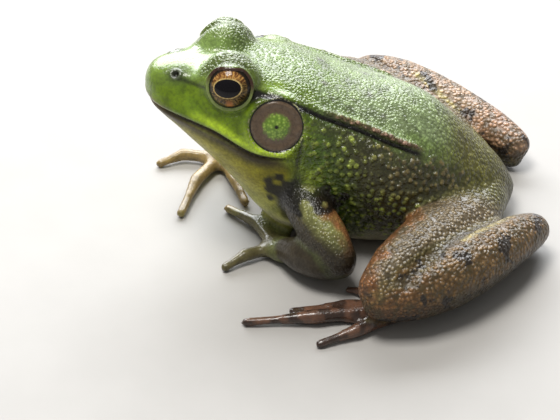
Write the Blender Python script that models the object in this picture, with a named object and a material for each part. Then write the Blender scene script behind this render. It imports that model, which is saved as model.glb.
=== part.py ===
"""A green frog sitting low on the ground, life size, with one solid for each part of its body.

Metres, +Z up. The nose points along -Y and the frog's left side is +X. The tables below are in
millimetres, measured from the spot on the ground under its eyes. place_on_origin() at the end moves
the whole frog so that the origin is the middle of its footprint.
"""

import math

import bmesh
import bpy
from mathutils import Matrix, Vector
from mathutils.geometry import interpolate_bezier

MM = 0.001
GAP = 0.3  # between neighbouring solids, in mm
LEFT, RIGHT = 1, -1
SIDES = ((LEFT, "left"), (RIGHT, "right"))

# The head is drawn level, then pitched nose-up about the hinge of the jaw.
JAW_HINGE = Vector((0, 13.6, 25.7))
HEAD_PITCH = math.radians(11)

# In the level head's own frame: out to the side, forward, up.
EYEBALL_AT = Vector((7.5, 14.5, 8.8))
EYEBALL_RADIUS = 4.7
EYE_AXIS = Vector((0.88, 0.24, 0.40)).normalized()
EYELID_REACH = 2.2  # how far along the eye's axis the lids cover the ball
EYE_OPENING_FROM = 1.2  # how far along the axis the hole in the lids begins
EYE_OPENING_RADIUS = 4.2
EYE_OPENING_FLARE = 5.2  # its radius at the outer end
ORBIT_AT = Vector((6.5, 15.0, 9.2))
ORBIT_RADII = Vector((6.0, 6.0, 6.2))

EARDRUM_AT = Vector((13.3, 5.2, 4.4))
EARDRUM_FACING = Vector((0.955, 0.13, 0.26)).normalized()
EARDRUM_RADIUS = 5.1
EARDRUM_THICKNESS = 1.6
EARDRUM_RISE = 0.4  # its middle stands this far proud of its edge
EARDRUM_SLOPE = 2.8  # and it rises over this distance inwards
SEAT_DEPTH = 6.0

# The cuts that part the loft of the body: a point on each, and the way it faces.
MOUTH_CUT = (Vector((0, 28.5, 1.8)), Vector((0, -0.16, 1)).normalized())  # in the head's frame
NECK_CUT = (Vector((0, 15.6, 28.0)), Vector((0, 0.94, -0.34)).normalized())

# Character lines of the body, from the middle of the back round to the middle of the belly.
# The head's are (out, forward, up) in its own frame, and the trunk's are (x, y, z).
HEAD_STATIONS = (
    # back              ridge              cheek              lip                under jaw          throat
    ((0, 29.6, 6.9), (2.6, 29.4, 6.5), (4.3, 29.1, 4.2), (4.7, 28.6, 2), (3.1, 27.8, -0.6), (0, 28, -1.3)),
    ((0, 25.6, 8.8), (4, 25.6, 8.2), (6.4, 25.2, 4.9), (7.9, 24.4, 1.3), (5.5, 23.6, -2.6), (0, 24, -3.8)),
    ((0, 20.5, 9.8), (5.4, 20.5, 9), (8.8, 20.2, 5.2), (11, 19.6, 0.6), (7.8, 18.6, -5.2), (0, 19.6, -7.2)),
    ((0, 14.5, 10.9), (7.4, 14.5, 9.6), (11.4, 14.5, 5.2), (13.4, 14, -0.5), (9.5, 12.4, -8.9), (0, 13.8, -11.8)),
    ((0, 8.5, 11.8), (9.8, 8.5, 10), (13.5, 8.5, 5.4), (14.9, 7.8, -1.7), (11.2, 6, -13.2), (0, 7.6, -17.6)),
    ((0, 2.5, 11.8), (12, 2.8, 9.4), (14.7, 2.8, 4.8), (15.4, 1.8, -3), (12.4, -1, -18.2), (0, 1.6, -23.2)),
)
TRUNK_STATIONS = (
    ((0, 20.5, 34.8), (13.4, 20, 31.2), (16.6, 20.5, 24.5), (16, 20, 14.5), (11, 18.5, 3), (0, 17.5, 0.2)),
    ((0, 29, 31.6), (13.6, 28.5, 27), (18.2, 29, 19), (17.4, 28.5, 9.8), (11.6, 27.5, 0.9), (0, 27, -0.4)),
    ((0, 37, 29.4), (12.8, 37, 23.4), (17.6, 37, 16), (16.8, 37, 7.8), (11.2, 37, 0.6), (0, 37, -0.4)),
    ((0, 43.6, 25.6), (10.6, 43.6, 20), (14.8, 43.6, 13.4), (14, 43.6, 6.6), (9.6, 43.6, 0.6), (0, 43.6, -0.4)),
    ((0, 51, 17.6), (8, 51, 14.4), (11, 51, 9.8), (10.4, 51, 4.8), (7.2, 51, 0.6), (0, 51, -0.4)),
    ((0, 57.2, 10.8), (5.4, 57.2, 9), (7, 57.2, 6.2), (6.6, 57.2, 3.2), (4.6, 57, 0.8), (0, 57, -0.1)),
)
SNOUT_TIP = (0, 31.0, 3.6)
VENT = (0, 60.6, 4.8)
STEPS_ALONG = 2
STEPS_ROUND = 3

# Limbs as (point, half width, half height), from the body outwards. Those of the right side are
# given with x outwards too.
THIGH = {
    "left": (
        ((6.5, 52.5, 6.4), 5.4, 5.0),
        ((14.5, 47.0, 7.2), 7.4, 5.9),
        ((24.5, 39.0, 8.8), 7.0, 6.4),
        ((34.0, 31.0, 9.8), 5.8, 6.0),
        ((38.6, 26.8, 9.2), 4.2, 5.2),
    ),
}
THIGH["right"] = THIGH["left"]
SHANK = {
    "left": (
        ((40.0, 27.0, 8.0), 3.9, 5.0),
        ((38.8, 32.4, 8.0), 5.4, 5.8),
        ((34.8, 40.4, 8.0), 6.4, 6.3),
        ((28.0, 49.6, 7.8), 5.9, 5.6),
        ((21.4, 57.0, 7.0), 4.8, 4.4),
        ((18.4, 60.4, 6.2), 3.8, 3.6),
    ),
    "right": (
        ((39.6, 28.2, 8.6), 3.9, 5.0),
        ((38.4, 33.4, 8.6), 5.4, 5.8),
        ((34.4, 41.2, 8.2), 6.4, 6.3),
        ((27.2, 50.6, 7.2), 5.9, 5.4),
        ((19.0, 58.8, 6.2), 4.7, 4.2),
        ((14.0, 62.8, 5.4), 3.7, 3.4),
    ),
}
TARSUS = {
    "left": (
        ((16.8, 61.6, 3.4), 2.4, 2.6),
        ((21.0, 54.6, 2.4), 2.9, 2.3),
        ((26.6, 46.4, 2.0), 2.9, 2.1),
        ((30.6, 40.0, 2.0), 3.1, 2.0),
    ),
    "right": (
        ((13.2, 62.4, 3.0), 2.4, 2.6),
        ((19.0, 56.0, 2.4), 2.9, 2.3),
        ((25.8, 47.4, 2.0), 2.9, 2.1),
        ((30.4, 40.6, 2.0), 3.1, 2.0),
    ),
}
SOLE = (
    ((31.2, 39.0, 1.9), 3.1, 2.0),
    ((33.6, 34.0, 1.8), 3.9, 1.8),
    ((35.4, 28.4, 1.5), 4.3, 1.4),
)
# Toes as (root, knuckle, tip, half thickness at the root, half thickness at the tip).
TOES = (
    ((31.4, 34.6, 1.4), (29.2, 30.0, 1.4), (27.2, 25.8, 0.7), 1.1, 0.7),
    ((32.6, 31.6, 1.4), (30.2, 26.8, 1.5), (27.4, 22.4, 0.7), 1.2, 0.7),
    ((34.2, 30.0, 1.5), (33.9, 21.0, 1.6), (33.2, 10.6, 0.7), 1.4, 0.75),
    ((36.0, 28.6, 1.6), (36.6, 14.6, 1.7), (36.0, 1.2, 0.8), 1.5, 0.8),
    ((37.8, 29.6, 1.5), (41.4, 22.4, 1.6), (44.0, 14.8, 0.8), 1.4, 0.8),
)
# How far the web runs out along the toes on each side of it, as a share of their length.
WEBS = ((0.75, 0.55), (0.85, 0.5), (0.8, 0.42), (0.4, 0.55))
WEB_THICKNESS = 0.7
WEB_HEIGHT = 0.5  # of its middle, as a share of the toes'
WEB_NOTCH = 0.35  # the depth of its hollow edge, as a share of its length
WEB_CELLS = (2, 3)
BONE_WAIST = 0.55  # where along each bone a digit is thinnest
WEB_STEPS = 8

UPPER_ARM = {
    "left": (
        ((11.0, 13.6, 15.0), 4.2, 4.8),
        ((17.4, 15.6, 13.0), 4.5, 4.8),
        ((23.0, 18.6, 10.2), 4.2, 4.4),
        ((26.4, 20.6, 7.6), 3.4, 3.8),
    ),
    "right": (
        ((11.0, 13.0, 15.0), 4.2, 4.8),
        ((17.4, 14.2, 13.0), 4.5, 4.8),
        ((23.4, 16.4, 10.2), 4.2, 4.4),
        ((27.0, 17.6, 7.8), 3.4, 3.8),
    ),
}
FOREARM = {
    "left": (
        ((25.8, 20.6, 6.6), 3.4, 3.8),
        ((23.8, 17.4, 6.0), 4.2, 4.3),
        ((20.4, 13.8, 4.8), 3.8, 3.7),
        ((16.8, 11.2, 3.6), 2.7, 2.5),
    ),
    "right": (
        ((27.4, 17.2, 6.8), 3.4, 3.8),
        ((26.6, 13.0, 6.2), 4.2, 4.2),
        ((24.2, 7.4, 5.0), 3.6, 3.6),
        ((21.4, 2.8, 3.6), 2.7, 2.5),
    ),
}
PALM = {
    "left": (
        ((16.4, 11.0, 2.6), 2.7, 2.3),
        ((13.6, 9.4, 2.1), 3.4, 1.9),
        ((11.8, 8.4, 1.6), 3.1, 1.4),
    ),
    "right": (
        ((21.2, 2.2, 2.6), 2.7, 2.3),
        ((20.0, 0.0, 2.1), 3.4, 1.9),
        ((18.6, -1.6, 1.6), 3.1, 1.4),
    ),
}
# Fingers as toes are, the innermost first.
FINGERS = {
    "left": (
        ((13.4, 11.0, 1.5), (9.6, 11.6, 1.5), (6.4, 11.4, 0.8), 1.15, 0.8),
        ((12.6, 9.6, 1.5), (6.8, 9.0, 1.5), (1.4, 6.6, 0.8), 1.15, 0.75),
        ((12.2, 8.8, 1.7), (4.2, 6.0, 1.7), (-2.2, 0.6, 0.9), 1.45, 0.9),
        ((13.6, 8.0, 1.6), (15.4, 2.8, 1.7), (18.1, -1.5, 0.9), 1.35, 0.9),
    ),
    "right": (
        ((18.8, 1.4, 1.5), (14.4, 4.6, 1.5), (11.0, 8.4, 0.8), 1.15, 0.8),
        ((18.4, 0.6, 1.5), (10.9, 2.7, 1.8), (4.0, 4.3, 0.9), 1.2, 0.9),
        ((18.6, -1.0, 1.7), (12.3, -5.4, 1.7), (1.3, -9.3, 0.9), 1.45, 0.9),
        ((20.4, -1.4, 1.6), (22.2, -7.7, 1.7), (20.3, -12.8, 0.9), 1.35, 0.9),
    ),
}
BALL_CELLS = (16, 10)
ROUND_SIDES = 24
LIMB_SIDES = 12
DIGIT_SIDES = 6
GROUND_SIZE = 200
END_BENDS = (math.radians(35), math.radians(62))  # the rings that round off the end of a limb


def colour(name, rgb, roughness):
    """A material with this colour and gloss."""
    made = bpy.data.materials.new(name)
    made.use_nodes = True
    shader = made.node_tree.nodes["Principled BSDF"]
    shader.inputs["Base Color"].default_value = (*rgb, 1)
    shader.inputs["Roughness"].default_value = roughness
    shader.inputs["Metallic"].default_value = 0
    return made


def turned_with_head(direction):
    """This direction of the level head, given as (out, forward, up), in the frog's frame."""
    out, forward, up = direction
    return Matrix.Rotation(-HEAD_PITCH, 3, "X") @ Vector((out, -forward, up))


def from_head(point):
    """This point of the level head, given as (out, forward, up), in the frog's frame."""
    return JAW_HINGE + turned_with_head(point)


def on_side(point, side):
    """A point or direction that is given with x outwards, on the frog's left or right."""
    return Vector((point[0] * side, point[1], point[2]))


def smooth_line(points, steps, closed=False):
    """Points on a smooth curve through these, with this many steps from each to the next."""
    points = [Vector(p) for p in points]
    count = len(points)
    made = []
    for i in range(count if closed else count - 1):
        start, end = points[i], points[(i + 1) % count]
        before = points[i - 1] if closed or i else start
        after = points[(i + 2) % count] if closed or i + 2 < count else end
        handle = (end - start).length / 3
        leaving = start + (end - before).normalized() * handle
        arriving = end - (after - start).normalized() * handle
        made += interpolate_bezier(start, leaving, arriving, end, steps + 1)[:-1]
    return made if closed else made + [points[-1]]


def skin_over(rings, first_pole, last_pole):
    """A closed mesh over these rings of points, drawn together at a point beyond each end."""
    shape = bmesh.new()
    loops = [[shape.verts.new(p) for p in ring] for ring in rings]
    for near, far in zip(loops, loops[1:]):
        for i in range(len(near)):
            j = (i + 1) % len(near)
            shape.faces.new((near[i], near[j], far[j], far[i]))
    for loop, pole in ((loops[0], first_pole), (loops[-1], last_pole)):
        tip = shape.verts.new(pole)
        for i in range(len(loop)):
            shape.faces.new((loop[i], loop[(i + 1) % len(loop)], tip))
    bmesh.ops.recalc_face_normals(shape, faces=shape.faces)
    return shape


def body_shape():
    """Head and trunk in one, lofted along the character lines."""
    stations = [[from_head(p) for p in row] for row in HEAD_STATIONS]
    stations += [[Vector(p) for p in row] for row in TRUNK_STATIONS]
    nose, tail = from_head(SNOUT_TIP), Vector(VENT)
    lines = [smooth_line([nose, *line, tail], STEPS_ALONG) for line in zip(*stations)]
    rings = []
    for section in list(zip(*lines))[1:-1]:
        other_side = [on_side(p, RIGHT) for p in section[-2:0:-1]]
        rings.append(smooth_line([*section, *other_side], STEPS_ROUND, closed=True))
    return skin_over(rings, nose, tail)


def limb_shape(stations, side, round_sides=LIMB_SIDES, steps=2):
    """A tube with oval sections through (point, half width, half height), round at both ends."""
    path = smooth_line([on_side(point, side) for point, _, _ in stations], steps)
    sizes = smooth_line([(width, height, 0) for _, width, height in stations], steps)
    directions = [(b - a).normalized() for a, b in zip(path[:1] + path[:-1], path[1:] + path[-1:])]
    sections = list(zip(path, directions, sizes))
    for end, outwards in ((0, -1), (-1, 1)):
        centre, along, size = sections[end]
        reach = min(size[:2])
        for bend in END_BENDS:
            moved = centre + along * outwards * reach * math.sin(bend)
            ring = (moved, along, size * math.cos(bend))
            sections.insert(0 if end == 0 else len(sections), ring)
    rings = []
    for centre, along, size in sections:
        across = along.cross(Vector((0, 0, 1))).normalized()
        over = across.cross(along)
        turns = [math.tau * k / round_sides for k in range(round_sides)]
        width, height = across * size.x, over * size.y
        rings.append([centre + width * math.cos(t) + height * math.sin(t) for t in turns])
    first = path[0] - directions[0] * min(sizes[0][:2])
    last = path[-1] + directions[-1] * min(sizes[-1][:2])
    return skin_over(rings, first, last)


def digit_shape(digit, side):
    """A finger or toe: a thin tube that is a little swollen at its knuckle and at its tip."""
    root, knuckle, tip, thick, thin = digit
    root, knuckle, tip = Vector(root), Vector(knuckle), Vector(tip)
    waist = thick * 0.9
    stations = (
        (root, thick, thick),
        (root.lerp(knuckle, BONE_WAIST), waist, waist),
        (knuckle, thick, thick),
        (knuckle.lerp(tip, BONE_WAIST), thin, thin),
        (tip, thin * 1.1, thin * 0.9),
    )
    return limb_shape(stations, side, DIGIT_SIDES, steps=1)


def web_shape(one, other, reach_one, reach_other, side):
    """The thin web between two toes, with a hollow edge."""
    shape = bmesh.new()
    bmesh.ops.create_grid(shape, x_segments=WEB_CELLS[0], y_segments=WEB_CELLS[1], size=1)
    lines = [smooth_line([on_side(p, side) for p in toe[:3]], WEB_STEPS) for toe in (one, other)]
    for vert in shape.verts:
        between, out = vert.co.x / 2 + 0.5, vert.co.y / 2 + 0.5
        hollow = 1 - WEB_NOTCH * math.sin(math.pi * between)
        ends = []
        for line, reach in zip(lines, (reach_one, reach_other)):
            place = out * reach * hollow * (len(line) - 1)
            near = min(int(place), len(line) - 2)
            ends.append(line[near].lerp(line[near + 1], place - near))
        vert.co = ends[0].lerp(ends[1], between)
        vert.co.z = vert.co.z * WEB_HEIGHT - WEB_THICKNESS / 2
    extruded = bmesh.ops.extrude_face_region(shape, geom=shape.faces[:])["geom"]
    top = [g for g in extruded if isinstance(g, bmesh.types.BMVert)]
    bmesh.ops.translate(shape, vec=(0, 0, WEB_THICKNESS), verts=top)
    bmesh.ops.recalc_face_normals(shape, faces=shape.faces)
    return shape


def eyeball_shape(radius, side):
    """A ball with its poles on the eye's axis."""
    shape = bmesh.new()
    poles = on_side(turned_with_head(EYE_AXIS), side).to_track_quat("Z", "Y").to_matrix().to_4x4()
    place = Matrix.Translation(on_side(from_head(EYEBALL_AT), side)) @ poles
    cells_round, cells_along = BALL_CELLS
    bmesh.ops.create_uvsphere(
        shape, u_segments=cells_round, v_segments=cells_along, radius=radius, matrix=place
    )
    return shape


def eye_opening_shape(side):
    """The hole in the lids: a short bore that widens outwards along the eye's axis."""
    axis = on_side(turned_with_head(EYE_AXIS), side)
    inner_end = on_side(from_head(EYEBALL_AT), side) + axis * EYE_OPENING_FROM
    middle = inner_end + axis * EYEBALL_RADIUS / 2
    return cylinder(EYE_OPENING_RADIUS, EYE_OPENING_FLARE, EYEBALL_RADIUS, middle, axis)


def orbit_shape(side):
    """The bulge of the lids round the eyeball, cut off square where the eye opens."""
    shape = bmesh.new()
    turn = Matrix.Rotation(-HEAD_PITCH, 4, "X")
    stretch = Matrix.Diagonal((*ORBIT_RADII, 1))
    place = Matrix.Translation(on_side(from_head(ORBIT_AT), side)) @ turn @ stretch
    cells_round, cells_along = BALL_CELLS
    bmesh.ops.create_uvsphere(shape, u_segments=cells_round, v_segments=cells_along, radius=1, matrix=place)
    axis = on_side(turned_with_head(EYE_AXIS), side)
    cut_away(shape, on_side(from_head(EYEBALL_AT), side) + axis * EYELID_REACH, axis)
    return shape


def cylinder(radius, far_radius, depth, middle, axis):
    """A cylinder or cone about this axis, which widens or narrows along it from radius to far_radius."""
    shape = bmesh.new()
    bmesh.ops.create_cone(
        shape, cap_ends=True, segments=ROUND_SIDES, radius1=radius, radius2=far_radius, depth=depth
    )
    place = Matrix.Translation(middle) @ axis.to_track_quat("Z", "Y").to_matrix().to_4x4()
    bmesh.ops.transform(shape, matrix=place, verts=shape.verts)
    return shape


def eardrum_shape(side):
    """A disc with a gently raised middle, set flat against the cheek."""
    facing = on_side(turned_with_head(EARDRUM_FACING), side)
    middle = on_side(from_head(EARDRUM_AT), side)
    shape = cylinder(EARDRUM_RADIUS, EARDRUM_RADIUS, EARDRUM_THICKNESS, middle, facing)
    top = max(shape.faces, key=lambda face: face.calc_center_median().dot(facing))
    bmesh.ops.inset_region(shape, faces=[top], thickness=EARDRUM_SLOPE, depth=EARDRUM_RISE)
    return shape


def eardrum_seat_shape(side):
    """The round recess that the eardrum sits in."""
    facing = on_side(turned_with_head(EARDRUM_FACING), side)
    floor = on_side(from_head(EARDRUM_AT), side) - facing * (EARDRUM_THICKNESS / 2 + GAP)
    radius = EARDRUM_RADIUS + GAP
    return cylinder(radius, radius, SEAT_DEPTH, floor + facing * SEAT_DEPTH / 2, facing)


def ground_shape():
    """What lies under the frog: cutting it away leaves flats at one level."""
    shape = bmesh.new()
    bmesh.ops.create_cube(shape, size=GROUND_SIZE, matrix=Matrix.Translation((0, 0, -GROUND_SIZE / 2)))
    return shape


def cut_away(shape, point, facing):
    """Removes what lies beyond a plane, on the side that it faces, and closes the cut."""
    everything = [*shape.verts, *shape.edges, *shape.faces]
    cut = bmesh.ops.bisect_plane(shape, geom=everything, plane_co=point, plane_no=facing, clear_outer=True)
    rim = [g for g in cut["geom_cut"] if isinstance(g, bmesh.types.BMEdge)]
    bmesh.ops.contextual_create(shape, geom=rim)
    bmesh.ops.recalc_face_normals(shape, faces=shape.faces)


def grown(shape):
    """The shape with its surface moved out by the gap."""
    shape.normal_update()
    for vert, normal in [(v, v.normal.copy()) for v in shape.verts]:
        vert.co += normal * GAP
    return shape


def add_object(name, shape, material=None):
    """An object with this closed shape, in metres."""
    bmesh.ops.triangulate(shape, faces=[face for face in shape.faces if len(face.verts) > 4])
    bmesh.ops.scale(shape, vec=(MM, MM, MM), verts=shape.verts)
    mesh = bpy.data.meshes.new(name)
    shape.to_mesh(mesh)
    shape.free()
    mesh.shade_smooth()
    made = bpy.data.objects.new(name, mesh)
    bpy.context.scene.collection.objects.link(made)
    if material:
        mesh.materials.append(material)
    else:
        made.hide_render = True
        made.display_type = "WIRE"
    return made


def combine(target, operation, others):
    """Adds each of these hidden objects to the target, or cuts it away."""
    for other in others:
        step = target.modifiers.new(f"{operation.lower()} {other.name}", "BOOLEAN")
        step.operation = operation
        step.object = other


def make_materials():
    return {
        "back": colour("back_skin", (0.13, 0.25, 0.03), 0.4),
        "throat": colour("throat_skin", (0.45, 0.47, 0.12), 0.45),
        "leg": colour("leg_skin", (0.19, 0.13, 0.06), 0.42),
        "eardrum": colour("eardrum_skin", (0.16, 0.10, 0.07), 0.5),
        "eye": colour("eye", (0.03, 0.02, 0.01), 0.08),
    }


def make_head_and_trunk(materials):
    """The loft of the body, parted at the neck and at the mouth, with seats for the eyes and eardrums."""
    neck_at, neck_faces = NECK_CUT
    mouth_at, mouth_faces = from_head(MOUTH_CUT[0]), turned_with_head(MOUTH_CUT[1])
    half_gap_at_neck, half_gap_at_mouth = neck_faces * GAP / 2, mouth_faces * GAP / 2

    trunk = body_shape()
    cut_away(trunk, neck_at + half_gap_at_neck, -neck_faces)
    trunk = add_object("trunk", trunk, materials["back"])

    jaw = body_shape()
    cut_away(jaw, neck_at - half_gap_at_neck, neck_faces)
    cut_away(jaw, mouth_at - half_gap_at_mouth, mouth_faces)
    jaw = add_object("lower_jaw", jaw, materials["throat"])

    head = body_shape()
    cut_away(head, neck_at - half_gap_at_neck, neck_faces)
    cut_away(head, mouth_at + half_gap_at_mouth, -mouth_faces)
    head = add_object("head", head, materials["back"])
    for side, name in SIDES:
        combine(head, "UNION", [add_object(f"orbit_{name}", orbit_shape(side))])
    for side, name in SIDES:
        seats = (
            ("eye_opening", eye_opening_shape(side)),
            ("eye_socket", eyeball_shape(EYEBALL_RADIUS + GAP, side)),
            ("eardrum_seat", eardrum_seat_shape(side)),
        )
        combine(head, "DIFFERENCE", [add_object(f"{seat}_{name}", shape) for seat, shape in seats])
        add_object(f"eye_{name}", eyeball_shape(EYEBALL_RADIUS, side), materials["eye"])
        add_object(f"eardrum_{name}", eardrum_shape(side), materials["eardrum"])
    return trunk, jaw


def make_leg(side, name, materials, around_body, ground):
    """Thigh, shank, tarsus and webbed foot. Each one gives way to those before it."""
    thigh_raw, shank_raw, tarsus_raw = THIGH[name], SHANK[name], TARSUS[name]
    around_thigh = add_object(f"around_thigh_{name}", grown(limb_shape(thigh_raw, side)))
    around_shank = add_object(f"around_shank_{name}", grown(limb_shape(shank_raw, side)))
    around_tarsus = add_object(f"around_tarsus_{name}", grown(limb_shape(tarsus_raw, side)))

    thigh = add_object(f"thigh_{name}", limb_shape(thigh_raw, side), materials["leg"])
    combine(thigh, "DIFFERENCE", [around_body])
    shank = add_object(f"shank_{name}", limb_shape(shank_raw, side), materials["leg"])
    combine(shank, "DIFFERENCE", [around_thigh])
    tarsus = add_object(f"tarsus_{name}", limb_shape(tarsus_raw, side), materials["leg"])
    combine(tarsus, "DIFFERENCE", [around_shank, around_thigh, around_body, ground])

    foot = add_object(f"foot_{name}", limb_shape(SOLE, side), materials["leg"])
    toes = [add_object(f"toe_{n}_{name}", digit_shape(toe, side)) for n, toe in enumerate(TOES, 1)]
    webs = []
    for n, (one, other, reach) in enumerate(zip(TOES, TOES[1:], WEBS), 1):
        webs.append(add_object(f"web_{n}_{name}", web_shape(one, other, *reach, side)))
    combine(foot, "UNION", toes + webs)
    combine(foot, "DIFFERENCE", [around_tarsus, around_shank, around_thigh, ground])


def make_arm(side, name, materials, around_body, ground):
    """Upper arm, forearm and hand. Each one gives way to those before it."""
    around_upper = add_object(f"around_upper_arm_{name}", grown(limb_shape(UPPER_ARM[name], side)))
    around_forearm = add_object(f"around_forearm_{name}", grown(limb_shape(FOREARM[name], side)))

    upper_arm = add_object(f"upper_arm_{name}", limb_shape(UPPER_ARM[name], side), materials["back"])
    combine(upper_arm, "DIFFERENCE", [around_body])
    forearm = add_object(f"forearm_{name}", limb_shape(FOREARM[name], side), materials["leg"])
    combine(forearm, "DIFFERENCE", [around_upper, around_body, ground])

    hand = add_object(f"hand_{name}", limb_shape(PALM[name], side), materials["leg"])
    fingers = [add_object(f"finger_{n}_{name}", digit_shape(f, side)) for n, f in enumerate(FINGERS[name], 1)]
    combine(hand, "UNION", fingers)
    combine(hand, "DIFFERENCE", [around_forearm, around_body, ground])


def place_on_origin():
    """Moves everything so that the origin is the middle of the frog's footprint."""
    graph = bpy.context.evaluated_depsgraph_get()
    shown = [obj.evaluated_get(graph) for obj in bpy.data.objects if not obj.hide_render]
    corners = [Vector(corner) for obj in shown for corner in obj.bound_box]
    lows = [min(corner[i] for corner in corners) for i in range(2)]
    highs = [max(corner[i] for corner in corners) for i in range(2)]
    shift = Matrix.Translation((-(lows[0] + highs[0]) / 2, -(lows[1] + highs[1]) / 2, 0))
    for mesh in bpy.data.meshes:
        mesh.transform(shift)


def main():
    for old in list(bpy.data.objects):
        bpy.data.objects.remove(old)
    materials = make_materials()
    ground = add_object("ground", ground_shape())
    around_body = add_object("around_body", grown(body_shape()))
    trunk, jaw = make_head_and_trunk(materials)
    combine(trunk, "DIFFERENCE", [ground])
    combine(jaw, "DIFFERENCE", [ground])
    for side, name in SIDES:
        make_leg(side, name, materials, around_body, ground)
        make_arm(side, name, materials, around_body, ground)
    place_on_origin()


main()
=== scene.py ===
"""A life-size green frog: one moist skin over the whole body, and two eyes set in its lids.

Sizes and places are in millimetres, and MM turns them into the scene's metres; the stage alone is in
metres. The head has a frame of its own, (out, forward, up), which is pitched nose-up with the head.
"""

import math

import bmesh
import bpy
import numpy as np
from bpy.props import FloatProperty, FloatVectorProperty, PointerProperty
from mathutils import Matrix, Vector, noise
from mathutils.bvhtree import BVHTree


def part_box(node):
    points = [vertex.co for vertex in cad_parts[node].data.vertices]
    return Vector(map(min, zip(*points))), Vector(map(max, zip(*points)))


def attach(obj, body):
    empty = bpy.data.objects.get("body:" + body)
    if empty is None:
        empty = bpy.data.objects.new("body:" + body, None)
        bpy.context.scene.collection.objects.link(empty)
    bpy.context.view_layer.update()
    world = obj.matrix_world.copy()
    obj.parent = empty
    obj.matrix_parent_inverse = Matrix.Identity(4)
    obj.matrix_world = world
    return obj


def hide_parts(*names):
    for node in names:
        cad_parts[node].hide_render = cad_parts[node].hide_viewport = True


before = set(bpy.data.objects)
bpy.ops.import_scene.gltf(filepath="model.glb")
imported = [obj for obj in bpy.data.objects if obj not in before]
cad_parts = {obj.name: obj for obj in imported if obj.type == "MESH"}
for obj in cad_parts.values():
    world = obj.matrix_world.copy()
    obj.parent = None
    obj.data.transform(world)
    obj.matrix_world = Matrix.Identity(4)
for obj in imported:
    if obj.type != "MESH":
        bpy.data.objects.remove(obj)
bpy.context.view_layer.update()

bl_info = {
    "name": "Green Frog",
    "version": (1, 0, 0),
    "blender": (4, 5, 0),
    "location": "3D View > Sidebar > Frog",
    "description": "Builds the skin, the eyes and the stage of a life-size green frog",
    "category": "Add Mesh",
}

MM = 0.001
SIDES = (("left", 1), ("right", -1))
HEAD_PITCH = math.radians(11)


def unit(*direction):
    return np.array(direction) / math.dist(direction, (0, 0, 0))


MIDDLE_FORWARD, MIDDLE_UP = 14.5, 8.8  # of the point midway between the CAD eyes, in the head's frame
EYE_IN_HEAD = np.array((8.0, 14.6, 9.2))
EYE_RADIUS = 4.8
LID_RADIUS = EYE_RADIUS + 0.25  # of the inside of the lids, which lie on the ball
EYE_AXIS = unit(0.927, 0.25, 0.275)
LID_ANGLE = math.radians(59)  # of the opening's edge, from the eye's axis
LID_TOP = 3.5  # height of the upper lid's flatter edge over the eye's axis
LEVEL_UP = unit(0, math.tan(HEAD_PITCH), 1)  # the scene's up, in the head's frame
LID_UP = unit(*(LEVEL_UP - (LEVEL_UP @ EYE_AXIS) * EYE_AXIS))
LID_THICKNESS = 0.95
LID_LOOPS = (-0.1, 0.1, 0.35, 0.7)  # how far outside the opening its loops of edges run
PUPIL_AHEAD, PUPIL_UP = 0.2, 0.25  # of the pupil's middle, from the eye's axis
EAR_IN_HEAD = np.array((13.3, 5.2, 4.4))
EAR_AXIS = unit(0.955, 0.13, 0.26)
EAR_FACE = 0.8  # its surface stands this far out from EAR_IN_HEAD
EAR_RADIUS = 5.1
EAR_DEPTH, EAR_INNER = 4, 6  # skin farther from EAR_IN_HEAD, or nearer the head's middle, isn't the ear's
MOUTH_POINT = np.array((0, 28.5, 1.8))
MOUTH_NORMAL = unit(0, -0.16, 1.0)
# Where the line of the mouth turns, as (forward, up): it dips before the ear and rises under the eye.
MOUTH_TURNS = ((0.0, 1.05), (8.6, -0.7), (17.1, 0.6), (31.0, -1.3))
MOUTH_LOOPS = (-0.3, 0, 0.3)  # heights of its loops of edges
HEAD_LOW = -6  # the sides of the head reach down to here, in its own frame

# More places on the head, in its own frame and on its left side.
NOSTRIL_IN_HEAD = np.array((4.4, 25.2, 8.0))
SNOUT_TIP = (0, 31, 3.6)
SNOUT_HOLLOW = (8.6, 21.0, 5.4)
BROW = ((4.9, 24.4, 8.3), (6.6, 21.6, 8.9), (8.2, 19.6, 9.8))  # from the nostril to the eye
EYE_POUCH = ((9.6, 19.4, 5.0), (12.2, 16.0, 3.6), (12.9, 12.0, 4.6), (12.0, 9.6, 8.0))
FRONT_MARK = ((4.9, 24.9, 7.5), (6.2, 22.4, 7.6), (9.2, 19.2, 8.3))  # dark, before the eye
REAR_MARK = (11.4, 10.4, 9.2)  # dark, behind the eye
MOUTH_CORNER = (15.6, 1.2, -1.6)

EYE_NODES = ("eye_left", "eye_right")
HEAD_NODES = ("head", "eye", "eardrum", "lower_jaw")
FLESH = [name for name in sorted(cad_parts) if name not in EYE_NODES]

# What is sculpted on the left side, and mirrored. The groove lies under the raised fold that runs from
# the eye over the ear to the middle of the back, and EAR_FOLD turns down from it behind the ear.
SIDE_GROOVE = (
    (10.9, -20.4, 37.3),
    (12.0, -16.4, 36.8),
    (13.2, -12.0, 35.5),
    (13.5, -6.0, 32.3),
    (13.5, 0.6, 29.2),
    (13.9, 7.2, 25.8),
    (12.8, 14.3, 21.5),
)
GROOVE_REACH = 3  # skin farther from the groove is none of the fold's
EAR_FOLD = ((12.4, -11.4, 34.8), (13.9, -9.8, 32.2), (15.2, -9.8, 28.8), (15.8, -10.8, 24.0))
# LEG_CREASE also carries painted shade along the crease.
LEG_CREASE = ((41.6, 6.4, 12.6), (37.8, 9.9, 14.0), (30.4, 17.0, 13.5), (22.0, 27.0, 11.5))

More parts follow.
